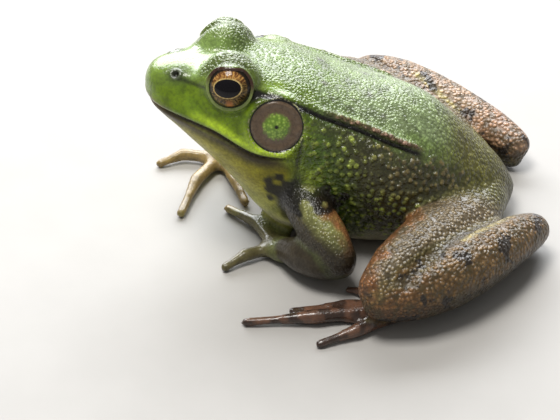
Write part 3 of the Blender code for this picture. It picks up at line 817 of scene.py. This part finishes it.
def paint_legs(coat):
    """Grey-brown grainy thighs with a rusty front, bronze shanks with dark blotches and painted shade below,
    painted light on the right shank, and wet feet.
    """
    x, up = coat.x, coat.normal[:, 2]
    thigh, shank, tarsus, foot = (coat.on(name) for name in ("thigh", "shank", "tarsus", "foot"))
    coat.paint(thigh, "thigh")
    coat.paint(thigh * (1 - ramp(x, 10, 19)), "rump")
    facing_front = -coat.normal[:, 1] - 0.2 * up + coat.uneven * 0.15
    coat.paint(thigh * ramp(facing_front, -0.1, 0.45), "thigh_front")
    coat.paint(coat.stroke(KNEE_MARK, 1.0, 0.8) * 0.85 * thigh, "mark")
    coat.paint(shank, "shank")
    # Painted shade on the downward-facing undersides of the shanks and in the crease between thigh and shank.
    coat.paint(shank * (1 - ramp(up, -0.3, 0.35)), "shank_shade")
    coat.paint(coat.stroke(LEG_CREASE, 2.6, 2.0) * 0.8, "shank_shade")
    coat.paint(coat.dab(KNEE, 7.5) * shank * 0.7, "thigh_front")
    coat.paint(coat.stroke(SHANK_STRIPE, 1.5, 1.0) * shank * 0.7, "leg_stripe")
    heel = coat.dab(HEEL, 6.5) * shank
    coat.paint(heel, "heel")
    # Painted light: the right shank's upward-facing top and its heel lighter than the left's.
    on_right = shank * (1 - coat.left)
    coat.paint(on_right * 0.75 * ramp(up, -0.2, 0.4), "shank_right")
    coat.paint(heel * on_right * 0.8, "right_heel_lit")
    coat.paint(coat.stroke(RIGHT_STRIPE, 1.4, 0.8) * on_right, "leg_stripe")
    # Painted shade on the tarsi, which lie under the shanks.
    coat.paint(tarsus, "shank_shade")
    coat.paint(foot, "foot")
    coat.paint(foot * ramp(coat.uneven, -0.2, 0.4) * 0.85, "foot_dark")
    leg = np.clip(thigh + shank + tarsus, 0, 1)
    coat.grainy *= (1 + 0.35 * leg) * (1 - 0.85 * foot)
    coat.coarse = np.clip(coat.coarse + leg, 0, 1)
    coat.spotted = np.maximum(coat.spotted, shank * 0.9 + thigh * 0.35 * ramp(x, 20, 30))
    coat.wet += 0.45 * foot - 0.06 * leg


class Pattern:
    """A node tree being wired up: each method adds a node and gives back its output."""

    def __init__(self, tree):
        self.tree = tree

    def add(self, kind, inputs=(), output=0, **settings):
        node = self.tree.nodes.new(kind)
        for name, value in settings.items():
            setattr(node, name, value)
        for socket, value in dict(inputs).items():
            self.give(value, node.inputs[socket])
        return node.outputs[output]

    def give(self, value, socket):
        """Links this output to the socket, or sets the socket to this value."""
        if isinstance(value, bpy.types.NodeSocket):
            self.tree.links.new(value, socket)
        elif socket.type == "RGBA":
            socket.default_value = (*value, 1)
        else:
            socket.default_value = value

    def math(self, operation, *values):
        return self.add("ShaderNodeMath", enumerate(values), operation=operation)

    def times(self, first, *others):
        for other in others:
            first = self.math("MULTIPLY", first, other)
        return first

    def less(self, whole, part):
        return self.math("SUBTRACT", whole, part)

    def ramp(self, value, low, high, to_low=0.0, to_high=1.0):
        """to_low at low and to_high at high, level beyond them, with a smooth change between."""
        names = ("Value", "From Min", "From Max", "To Min", "To Max")
        inputs = zip(names, (value, low, high, to_low, to_high))
        return self.add("ShaderNodeMapRange", inputs, interpolation_type="SMOOTHSTEP")

    def band(self, value, middle, inner, outer):
        """1 within inner of the middle and 0 beyond outer."""
        return self.ramp(self.math("ABSOLUTE", self.less(value, middle)), outer, inner)

    def cells(self, place, spacing, output="Distance"):
        return self.add("ShaderNodeTexVoronoi", {"Vector": place, "Scale": 1 / spacing}, output)

    def noise(self, place, size, detail=2.0, rough=0.5):
        inputs = {"Vector": place, "Scale": 1 / size, "Detail": detail, "Roughness": rough}
        return self.add("ShaderNodeTexNoise", inputs, "Fac")

    def mix(self, share, first, second, way="MIX"):
        inputs = {0: share, 6: first, 7: second}
        return self.add("ShaderNodeMix", inputs, 2, data_type="RGBA", blend_type=way)

    def lit(self, colour, lightness):
        """This colour, lightened or darkened."""
        grey = self.add("ShaderNodeCombineColor", {0: lightness, 1: lightness, 2: lightness})
        return self.mix(1.0, colour, grey, "MULTIPLY")

    def attribute(self, name, output="Vector"):
        return self.add("ShaderNodeAttribute", (), output, attribute_name=name)

    def parts(self, vector):
        return self.add("ShaderNodeSeparateXYZ", {0: vector}).node.outputs

    def joined(self, x, y, z=0.0):
        return self.add("ShaderNodeCombineXYZ", {0: x, 1: y, 2: z})

    def length(self, vector):
        return self.add("ShaderNodeVectorMath", {0: vector}, "Value", operation="LENGTH")


def wart_shape(pattern, place, spacing):
    """1 on the top of each wart, falling to 0 between the warts."""
    return pattern.ramp(pattern.cells(place, spacing), 0.72, 0.14)


def raise_warts(made, sizes):
    """Raises the warts of the flanks out of the skin, by the same cells that its material colours."""
    tree = bpy.data.node_groups.new("warts", "GeometryNodeTree")
    for way in ("INPUT", "OUTPUT"):
        tree.interface.new_socket("Geometry", in_out=way, socket_type="NodeSocketGeometry")
    p = Pattern(tree)
    place = p.add("GeometryNodeInputNamedAttribute", {"Name": "place"}, data_type="FLOAT_VECTOR")
    warty = p.add("GeometryNodeInputNamedAttribute", {"Name": "warty"}, data_type="FLOAT")
    height = p.times(wart_shape(p, place, sizes.wart_spacing / MM), warty, sizes.wart_height)
    outward = p.add("GeometryNodeInputNormal")
    offset = p.add("ShaderNodeVectorMath", {0: outward, "Scale": height}, operation="SCALE")
    shape = tree.nodes.new("NodeGroupInput").outputs[0]
    moved = p.add("GeometryNodeSetPosition", {"Geometry": shape, "Offset": offset})
    tree.links.new(moved, tree.nodes.new("NodeGroupOutput").inputs[0])
    made.modifiers.new("warts", "NODES").node_group = tree
    graph = bpy.context.evaluated_depsgraph_get()
    raised = bpy.data.meshes.new_from_object(made.evaluated_get(graph))
    made.modifiers.clear()
    made.data = raised
    bpy.data.node_groups.remove(tree)


def new_material(name):
    """A new material, the pattern that its nodes make, and its shader's inputs."""
    made = bpy.data.materials.new(name)
    made.use_nodes = True
    return made, Pattern(made.node_tree), made.node_tree.nodes["Principled BSDF"].inputs


def eardrum_colours(p, colour, place, grain, uneven, looks):
    """The eardrum's brown disc, its green grainy middle and its rim, laid over the skin's colour."""
    ear = p.parts(p.attribute("ear"))
    radius = p.length(p.joined(ear["X"], ear["Y"]))
    on_ear = p.math("LESS_THAN", p.math("ABSOLUTE", ear["Z"]), 3.0)
    disc = p.times(p.ramp(radius, EAR_RADIUS + 0.12, EAR_RADIUS - 0.12), on_ear)
    drum = p.mix(p.ramp(uneven, 0.3, 0.7), looks.drum_dark, looks.drum)
    wavering = p.math("ADD", radius, p.times(p.less(uneven, 0.5), 1.6))
    middle = p.ramp(wavering, 3.0, 2.1)
    drum = p.mix(middle, drum, p.mix(grain, looks.drum_middle_dark, looks.drum_middle))
    drum = p.mix(p.ramp(radius, 0.55, 0.2), drum, looks.mark)
    colour = p.mix(disc, colour, drum)
    rim = p.times(p.band(radius, EAR_RADIUS + 0.05, 0.08, 0.22), on_ear)
    colour = p.mix(rim, colour, looks.mark)
    beads = p.times(p.band(radius, EAR_RADIUS + 0.42, 0.08, 0.2), on_ear)
    beads = p.times(beads, p.ramp(p.noise(place, BEAD_SIZE), 0.48, 0.6))
    smoothness = p.times(disc, p.ramp(middle, 0.0, 1.0, 0.85, 0.2))
    return p.mix(beads, colour, looks.drum_beads), smoothness


def lid_colours(p, colour, looks):
    """The rim of the lids: pale green below and brown above."""
    lid = p.parts(p.attribute("lid"))
    rim = p.times(p.ramp(lid["X"], 0.32, 0.22), p.math("LESS_THAN", lid["Z"], EYE_RADIUS + 1.0))
    return p.mix(rim, colour, p.mix(p.ramp(lid["Y"], -0.1, 0.5), looks.lower_lid_rim, looks.upper_lid_rim))


def skin_material(sizes, looks):
    """Grainy, warty, blotched and wet skin, as its own attributes say at each place."""
    made, p, shader = new_material("moist frog skin")
    place = p.attribute("place")
    grainy, warty, wet, spotted, coarse = (
        p.attribute(name, "Fac") for name in ("grainy", "warty", "wet", "spotted", "coarse")
    )
    broad, fine = p.noise(place, BROAD_SIZE, 3.0), p.noise(place, FINE_SIZE, 3.0, 0.65)
    small = p.ramp(p.cells(place, sizes.grain_spacing / MM), 0.72, 0.05)
    large = p.ramp(p.cells(place, sizes.leg_grain_spacing / MM), 0.78, 0.05)
    grain = p.add("ShaderNodeMix", {0: coarse, 2: small, 3: large})
    wart = p.times(wart_shape(p, place, sizes.wart_spacing / MM), warty)

    # Painted shade in the crevices between the grains, and painted highlight on their tops.
    grain_shade_and_highlight = p.ramp(p.times(p.less(1.0, grain), grainy), 0.0, 1.0, 1.12, 0.5)
    lightness = p.times(p.ramp(broad, 0.3, 0.7, 0.8, 1.2), p.ramp(fine, 0.3, 0.7, 0.78, 1.22), grain_shade_and_highlight)
    colour = p.lit(p.attribute("tint", "Color"), lightness)
    own_tone = p.parts(p.cells(place, sizes.wart_spacing / MM, "Color"))["X"]
    wart_lightness = p.times(lightness, p.ramp(own_tone, 0.0, 1.0, 0.4, 1.35))
    wart_colour = p.lit(p.attribute("wart_tint", "Color"), wart_lightness)
    cover = p.times(p.ramp(wart, 0.25, 0.75), p.ramp(broad, 0.3, 0.6, 0.55, 1.0))
    colour = p.mix(cover, colour, wart_colour)
    mottle = p.ramp(p.noise(place, MOTTLE_SIZE, 3.0), 0.45, 0.62)
    mottle = p.times(mottle, p.ramp(spotted, 0.1, 0.8, 0.0, 0.65))
    colour = p.mix(mottle, colour, looks.mottle)
    blotch = p.ramp(p.noise(place, BLOTCH_SIZE, 4.0, 0.6), 0.565, 0.61)
    blotch = p.times(blotch, p.ramp(spotted, 0.1, 0.7, 0.0, 0.85))
    colour = p.mix(blotch, colour, looks.blotch)
    colour, smoothness = eardrum_colours(p, colour, place, grain, fine, looks)
    colour = lid_colours(p, colour, looks)

    grain_height = p.ramp(coarse, 0.0, 1.0, sizes.grain_height / MM, sizes.leg_grain_height / MM)
    height = p.math("ADD", p.times(grain, grainy, grain_height), p.times(fine, 0.05))
    height = p.math("ADD", p.times(height, p.less(1.0, smoothness)), p.times(wart, 0.1))
    bump = p.add("ShaderNodeBump", {"Strength": 1.0, "Distance": MM, "Height": height})
    p.give(colour, shader["Base Color"])
    p.give(p.less(p.ramp(fine, 0.25, 0.75, 0.50, 0.34), p.times(wet, 0.2)), shader["Roughness"])
    p.give(bump, shader["Normal"])
    p.give(bump, shader["Coat Normal"])
    shader["Specular IOR Level"].default_value = 0.35
    p.give(p.ramp(wet, 0.05, 0.8, 0.03, 0.6), shader["Coat Weight"])
    shader["Coat Roughness"].default_value = 0.2
    return made


def eye_material(sizes, looks):
    """A level black pupil with a thin gold ring, a gold and brown iris, and a wet surface."""
    made, p, shader = new_material("frog eye")
    gaze = p.attribute("gaze")
    ahead, upward, _ = p.parts(gaze)
    flat = p.joined(ahead, upward)
    radius = p.length(flat)
    pupil_half = sizes.pupil_height / MM / 2
    from_pupil_ahead = p.times(p.less(ahead, PUPIL_AHEAD), sizes.pupil_height / sizes.pupil_width)
    pupil = p.length(p.joined(from_pupil_ahead, p.less(upward, PUPIL_UP)))
    way = p.parts(p.add("ShaderNodeVectorMath", {0: flat}, operation="NORMALIZE"))
    fibre = p.noise(p.joined(way["X"], way["Y"], p.times(radius, 0.12)), IRIS_FIBRE_SIZE, 4.0, 0.7)
    speck = p.noise(gaze, IRIS_SPECK_SIZE, 4.0, 0.7)
    lower = p.mix(p.ramp(p.math("ADD", fibre, speck), 0.85, 1.2), looks.iris_dark, looks.iris_speck)
    gold = p.mix(p.ramp(fibre, 0.42, 0.62), looks.iris_brown, looks.iris_gold)
    iris = p.mix(p.ramp(upward, 0.4, 2.4), lower, gold)
    spot = p.times(p.ramp(upward, -1.6, -3.2), p.ramp(p.math("ABSOLUTE", ahead), 1.0, 0.3))
    iris = p.mix(spot, iris, looks.iris_spot)
    ring = p.mix(p.ramp(speck, 0.4, 0.6), looks.ring_dark, looks.ring)
    colour = p.mix(p.ramp(pupil, pupil_half + 0.2, pupil_half + 0.12), iris, ring)
    colour = p.mix(p.ramp(pupil, pupil_half + 0.02, pupil_half - 0.06), colour, looks.pupil)
    edge = p.ramp(p.math("ADD", radius, p.times(speck, 0.4)), 3.6, 3.9)
    colour = p.mix(edge, colour, looks.iris_edge)
    p.give(colour, shader["Base Color"])
    bump = p.add("ShaderNodeBump", {"Strength": 0.6, "Distance": MM, "Height": p.times(fibre, 0.12)})
    p.give(bump, shader["Normal"])
    shader["Roughness"].default_value = 0.5
    shader["Specular IOR Level"].default_value = 0.05
    shader["Coat IOR"].default_value = 1.36
    shader["Coat Weight"].default_value = 0.9
    shader["Coat Roughness"].default_value = 0.03
    return made


def floor_material(looks):
    """Matt and faintly clouded."""
    made, p, shader = new_material("pale floor")
    grain = p.noise(p.add("ShaderNodeTexCoord", (), "Object"), FLOOR_GRAIN, 4.0)
    p.give(p.mix(grain, looks.floor_dark, looks.floor), shader["Base Color"])
    shader["Roughness"].default_value = 0.7
    return made


def linked(name, data):
    """A new object of the scene that shows this data."""
    made = bpy.data.objects.new(name, data)
    bpy.context.scene.collection.objects.link(made)
    return made


def build_skin(sizes):
    """The sculpted skin, and the node that each of its points lies nearest to."""
    shape, owners = joined_flesh(FLESH_GROWN)
    tree = BVHTree.FromBMesh(shape)
    skin = Surface(remeshed(shape, sizes.face_size / MM))
    shape.free()
    owner = node_of_each(skin.points, tree, owners)
    digits = skin.spread(belongs(owner, "foot", "hand"), rounds=6)
    body = skin.spread(belongs(owner, "head", "trunk", "lower_jaw", "eardrum"), rounds=8)
    skin.raise_by(-SKIN_DRAWN_IN + (SKIN_DRAWN_IN - DIGITS_DRAWN_IN) * digits)
    skin.smooth(1 - 0.85 * digits, rounds=60, swell_back=0.515)
    skin.smooth(body, rounds=14)
    skin.smooth(1 - 0.6 * digits, rounds=4)
    skin.smooth(hump(far_from(in_head(skin.points), SNOUT_TIP), 0, 3), rounds=30)
    seat_eyes(skin)
    seat_ears(skin)
    skin.write()
    skin = refine(skin, detailed)
    skin = cut_loops(skin, lid_cuts())
    bend_mouth(skin, 1)
    skin = cut_loops(skin, mouth_cuts())
    bend_mouth(skin, -1)
    shape_lids(skin, sizes.lid_rim / MM)
    shape_ears(skin)
    shape_mouth(skin)
    shape_folds(skin)
    shape_nostrils(skin)
    skin.points[:, 2] = np.maximum(skin.points[:, 2], 0)
    return skin, node_of_each(skin.points, tree, owners)


def eyeball(name, side):
    """A ball that keeps at each of its points how far it is ahead of, above and out from its middle."""
    centre = point_from_head(on_side(EYE_IN_HEAD, side))
    axis = turned_with_head(on_side(EYE_AXIS, side))
    turn = Vector(axis).to_track_quat("Z", "Y").to_matrix().to_4x4()
    place = Matrix.Translation(Vector(centre) * MM) @ turn
    shape = bmesh.new()
    bmesh.ops.create_uvsphere(shape, u_segments=64, v_segments=40, radius=EYE_RADIUS * MM, matrix=place)
    mesh = bpy.data.meshes.new(name)
    shape.to_mesh(mesh)
    shape.free()
    away = Surface(mesh).points - centre
    ahead = unit(*(np.array((0, -1, 0)) + axis * axis[1]))
    upward = np.cross(axis, ahead)
    upward *= np.sign(upward[2])
    store(mesh, "gaze", np.stack((away @ ahead, away @ upward, away @ axis), axis=1))
    mesh.shade_smooth()
    return linked(name, mesh)


def softbox(name, place, size, power, colour):
    """A soft light of this width and height, facing the frog."""
    light = bpy.data.lights.new(name, "AREA")
    light.shape = "RECTANGLE"
    light.size, light.size_y = size
    light.energy = power
    light.color = colour
    made = linked(name, light)
    made.location = place
    made.rotation_euler = (Vector(place) - LIGHT_AIM).to_track_quat("Z", "Y").to_euler()


def shade(name, description, red, green, blue):
    """A colour that can be changed in the sidebar."""
    return FloatVectorProperty(
        name=name, description=description, subtype="COLOR", size=3, min=0, max=1, default=(red, green, blue)
    )


def measure(name, description, millimetres):
    """A size that can be changed in the sidebar."""
    return FloatProperty(
        name=name, description=description, unit="LENGTH", precision=5, min=0, default=millimetres * MM
    )


def strength(name, description, default):
    """A light's strength that can be changed in the sidebar."""
    return FloatProperty(name=name, description=description, min=0, default=default)


class FrogSizes(bpy.types.PropertyGroup):
    """Sizes of the skin's details and of the pupils."""

    face_size: measure("Face size", "Size of the skin's small faces", 0.58)
    grain_spacing: measure("Grain spacing", "Distance between the grains of the back", 0.571)
    grain_height: measure("Grain height", "Height of the grains of the back", 0.22)
    leg_grain_spacing: measure("Leg grain spacing", "Distance between the grains of the legs and rump", 0.833)
    leg_grain_height: measure("Leg grain height", "Height of the grains of the legs and rump", 0.29)
    wart_spacing: measure("Wart spacing", "Distance between the warts of the flanks", 1.25)
    wart_height: measure("Wart height", "Height of the warts of the flanks", 0.42)
    lid_rim: measure("Lid rim", "Height of the raised rim of the eyelids", 0.3)
    pupil_width: measure("Pupil width", "Width of the level pupil", 5.31)
    pupil_height: measure("Pupil height", "Height of the level pupil", 3.72)


class SkinLooks(bpy.types.PropertyGroup):
    """Colours of the skin, some of them painted light or shade."""

    back: shade("Back", "Green of the back", 0.18, 0.27, 0.07)
    # Painted sheen over the middle of the back.
    back_sheen: shade("Pale back", "Paler green of the middle of the back", 0.33, 0.42, 0.22)
    rump: shade("Rump", "Olive of the rump", 0.135, 0.13, 0.025)
    flank: shade("Flank", "Dark ground of the flanks", 0.052, 0.052, 0.018)
    flank_green: shade("Front flank", "Ground of the flanks behind the ear", 0.085, 0.165, 0.011)
    flank_top: shade("Upper flank", "Ground of the flanks just below the fold", 0.075, 0.085, 0.025)
    wart: shade("Warts", "Warts of the flanks", 0.23, 0.29, 0.045)
    wart_rear: shade("Rear warts", "Warts toward the rump", 0.19, 0.15, 0.06)
    cheek: shade("Cheeks", "Sides of the head", 0.125, 0.2, 0.008)
    lid: shade("Upper lids", "Round lids over the eyes", 0.11, 0.155, 0.03)
    upper_lid_rim: shade("Upper lid rim", "Edge of the upper lid", 0.06, 0.026, 0.016)
    lower_lid_rim: shade("Lower lid rim", "Edge of the lower lid", 0.24, 0.31, 0.08)
    nostril_patch: shade("Nostril patch", "Dark skin round the nostrils", 0.035, 0.055, 0.012)
    nostril_rim: shade("Nostril rim", "Pale ring of the nostrils", 0.45, 0.48, 0.4)
    lip: shade("Lip", "Bright stripe over the mouth", 0.42, 0.6, 0.03)
    lip_shade: shade("Lip shade", "Brown band below the mouth", 0.05, 0.038, 0.012)
    mouth_line: shade("Mouth line", "The closed mouth", 0.035, 0.02, 0.01)
    mouth_corner: shade("Mouth corner", "Skin at the corner of the mouth", 0.3, 0.4, 0.03)
    snout_edge: shade("Snout edge", "Edge of the snout over the mouth", 0.18, 0.13, 0.03)
    throat: shade("Throat", "The throat", 0.26, 0.235, 0.008)
    chest: shade("Chest", "The chest", 0.34, 0.36, 0.08)
    belly: shade("Belly", "The underside", 0.6, 0.57, 0.4)
    # Black marks, and the painted shade under the folds, in the nostril pits, at the armpits and in the neck
    # crease.
    mark: shade("Black marks", "Marks at the eyes, folds, shoulders and knees", 0.008, 0.007, 0.006)
    spot: shade("Back spots", "Few grey spots of the back", 0.1, 0.075, 0.09)
    crest: shade("Fold crest", "Top of the raised fold along the back", 0.17, 0.09, 0.055)
    crest_bead: shade("Fold beads", "Beads on the raised fold", 0.6, 0.38, 0.27)
    drum: shade("Eardrum", "Disc of the eardrum", 0.16, 0.11, 0.07)
    drum_dark: shade("Eardrum shade", "Darker parts of the eardrum", 0.095, 0.063, 0.04)
    drum_middle: shade("Eardrum middle", "Grains in the middle of the eardrum", 0.36, 0.54, 0.09)
    drum_middle_dark: shade("Eardrum middle shade", "Between the grains in the middle", 0.14, 0.25, 0.03)
    drum_beads: shade("Eardrum beads", "Tiny beads round the eardrum", 0.42, 0.42, 0.22)
    # Painted light over the olive of the upper arms' tops, and on the right forearm.
    arm_top_lit: shade("Upper arm", "Top of the upper arms", 0.23, 0.24, 0.075)
    arm_middle: shade("Arm side", "Sides of the upper arms", 0.05, 0.04, 0.019)
    arm_edge: shade("Arm edge", "Rear edge of the upper arms", 0.27, 0.115, 0.04)
    # Painted shade, and the forearms' brown darkened by painted shade.
    arm_shade: shade("Forearm", "Forearms and the shade of the upper arms", 0.036, 0.028, 0.016)
    # The left hand's colour holds painted shade and the right hand's painted light.
    hand_left: shade("Left hand", "Fingers of the left hand", 0.11, 0.095, 0.04)
    hand_right: shade("Right hand", "Fingers of the right hand", 0.24, 0.17, 0.065)
    thigh: shade("Thighs", "Thighs", 0.2, 0.15, 0.08)
    thigh_front: shade("Thigh front", "Front of the thighs and the knees", 0.27, 0.12, 0.045)
    shank: shade("Shanks", "Shanks", 0.2, 0.12, 0.045)
    # Painted shade under the shanks, in the crease below the thighs and on the tarsi.
    shank_shade: shade("Shank underside", "Underside of the shanks", 0.055, 0.04, 0.022)
    # Painted light on the right shank.
    shank_right: shade("Right shank", "Top of the right shank", 0.56, 0.37, 0.24)
    leg_stripe: shade("Leg stripe", "Cream line along the shanks", 0.55, 0.46, 0.18)
    heel: shade("Heels", "Heels", 0.17, 0.095, 0.035)
    # Painted light on the right heel.
    right_heel_lit: shade("Right heel", "Right heel", 0.42, 0.21, 0.11)
    mottle: shade("Leg mottling", "Olive clouds on the legs", 0.055, 0.045, 0.02)
    blotch: shade("Leg blotches", "Dark blotches on the legs", 0.016, 0.013, 0.013)
    foot: shade("Feet", "Toes and webs", 0.115, 0.058, 0.036)
    foot_dark: shade("Foot shade", "Darker parts of the feet", 0.028, 0.017, 0.013)


class EyeLooks(bpy.types.PropertyGroup):
    """Colours of the eyes."""

    pupil: shade("Pupil", "The pupil", 0.003, 0.002, 0.004)
    ring: shade("Ring", "Bright flecks of the thin ring round the pupil", 0.75, 0.58, 0.26)
    ring_dark: shade("Ring shade", "Darker parts of the ring round the pupil", 0.42, 0.27, 0.07)
    iris_gold: shade("Iris gold", "Fibres of the upper iris", 0.6, 0.33, 0.09)
    iris_brown: shade("Iris brown", "Between the fibres of the upper iris", 0.13, 0.045, 0.012)
    iris_dark: shade("Lower iris", "Ground of the lower iris", 0.012, 0.008, 0.004)
    iris_speck: shade("Iris specks", "Specks of the lower iris", 0.26, 0.16, 0.04)
    iris_spot: shade("Iris spot", "Spot at the bottom of the iris", 0.42, 0.16, 0.04)
    iris_edge: shade("Iris edge", "Dark outer edge of the iris", 0.012, 0.009, 0.006)


class StageLooks(bpy.types.PropertyGroup):
    """Colours and strengths of the floor and the light."""

    floor: shade("Floor", "Lighter parts of the floor", 0.46, 0.45, 0.435)
    floor_dark: shade("Floor shade", "Darker parts of the floor", 0.40, 0.39, 0.375)
    room: shade("Room", "Light from all round", 0.96, 0.95, 0.92)
    room_light: strength("Room light", "Strength of the light from all round", 0.28)
    window: shade("Window", "Light of the wide window", 0.95, 0.97, 1.0)
    window_power: strength("Window power", "Power of the wide window in watts", 13.0)
    lamp: shade("Lamp", "Light of the lamp overhead", 1.0, 0.97, 0.92)
    lamp_power: strength("Lamp power", "Power of the lamp overhead in watts", 5.0)


class FROG_OT_skin(bpy.types.Operator):
    """Makes one moist skin over the whole body, from nose to toes"""

    bl_idname = "frog.make_skin"
    bl_label = "Make Skin"

    def execute(self, context):
        sizes, looks = context.scene.frog_sizes, context.scene.frog_skin
        skin, owner = build_skin(sizes)
        if not len(skin.points):
            raise RuntimeError("the skin came out empty")
        coat = Coat(skin, owner, looks)
        flank = paint_back(coat)
        paint_head(coat)
        paint_throat(coat)
        paint_mouth(coat)
        paint_folds(coat, flank)
        paint_arms(coat)
        paint_legs(coat)
        coat.save()
        skin.write()
        made = linked("skin", skin.mesh)
        raise_warts(made, sizes)
        made.data.shade_smooth()
        made.data.materials.append(skin_material(sizes, looks))
        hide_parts(*FLESH)
        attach(made, "root")
        return {"FINISHED"}


class FROG_OT_eyes(bpy.types.Operator):
    """Makes the two eyeballs and seats them in the lids"""

    bl_idname = "frog.make_eyes"
    bl_label = "Make Eyes"

    def execute(self, context):
        material = eye_material(context.scene.frog_sizes, context.scene.frog_eyes)
        for name, side in SIDES:
            made = eyeball(f"{name}_eye", side)
            made.data.materials.append(material)
            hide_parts(f"eye_{name}")
            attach(made, "root")
        return {"FINISHED"}


class FROG_OT_stage(bpy.types.Operator):
    """Makes the pale floor, the soft light and the camera"""

    bl_idname = "frog.make_stage"
    bl_label = "Make Stage"

    def execute(self, context):
        scene, looks = context.scene, context.scene.frog_stage
        shape = bmesh.new()
        bmesh.ops.create_grid(shape, x_segments=8, y_segments=8, size=FLOOR_HALF)
        mesh = bpy.data.meshes.new("floor")
        shape.to_mesh(mesh)
        shape.free()
        mesh.materials.append(floor_material(looks))
        linked("floor", mesh)
        world = bpy.data.worlds.new("pale room")
        world.use_nodes = True
        background = world.node_tree.nodes["Background"].inputs
        background["Color"].default_value = (*looks.room, 1)
        background["Strength"].default_value = looks.room_light
        scene.world = world
        softbox("window", WINDOW_PLACE, WINDOW_SIZE, looks.window_power, looks.window)
        softbox("lamp", LAMP_PLACE, LAMP_SIZE, looks.lamp_power, looks.lamp)
        camera = linked("camera", bpy.data.cameras.new("camera"))
        camera.data.lens = CAMERA_LENS
        camera.data.clip_start = 0.01
        turn = Matrix.Rotation(CAMERA_AZIMUTH, 3, "Z")
        away = turn @ Vector((0, -math.cos(CAMERA_ELEVATION), math.sin(CAMERA_ELEVATION)))
        camera.location = (Vector(EYE_MIDDLE) + Vector(CAMERA_AIM)) * MM + away * CAMERA_DISTANCE
        camera.rotation_euler = away.to_track_quat("Z", "Y").to_euler()
        scene.camera = camera
        scene.view_settings.view_transform = "Standard"
        return {"FINISHED"}


class FROG_PT_panel(bpy.types.Panel):
    """Lists the steps and every setting"""

    bl_label = "Green Frog"
    bl_idname = "FROG_PT_panel"
    bl_space_type = "VIEW_3D"
    bl_region_type = "UI"
    bl_category = "Frog"

    def draw(self, context):
        for operator in (FROG_OT_skin, FROG_OT_eyes, FROG_OT_stage):
            self.layout.operator(operator.bl_idname)
        for name, group in SETTINGS.items():
            box = self.layout.box()
            for prop in group.__annotations__:
                box.prop(getattr(context.scene, name), prop)


SETTINGS = {"frog_sizes": FrogSizes, "frog_skin": SkinLooks, "frog_eyes": EyeLooks, "frog_stage": StageLooks}
CLASSES = (*SETTINGS.values(), FROG_OT_skin, FROG_OT_eyes, FROG_OT_stage, FROG_PT_panel)


def register():
    for made in CLASSES:
        bpy.utils.register_class(made)
    for name, group in SETTINGS.items():
        setattr(bpy.types.Scene, name, PointerProperty(type=group))


def unregister():
    for name in SETTINGS:
        delattr(bpy.types.Scene, name)
    for made in reversed(CLASSES):
        bpy.utils.unregister_class(made)


def main():
    register()
    bpy.ops.frog.make_skin()
    bpy.ops.frog.make_eyes()
    bpy.ops.frog.make_stage()


if __name__ == "__main__":
    main()
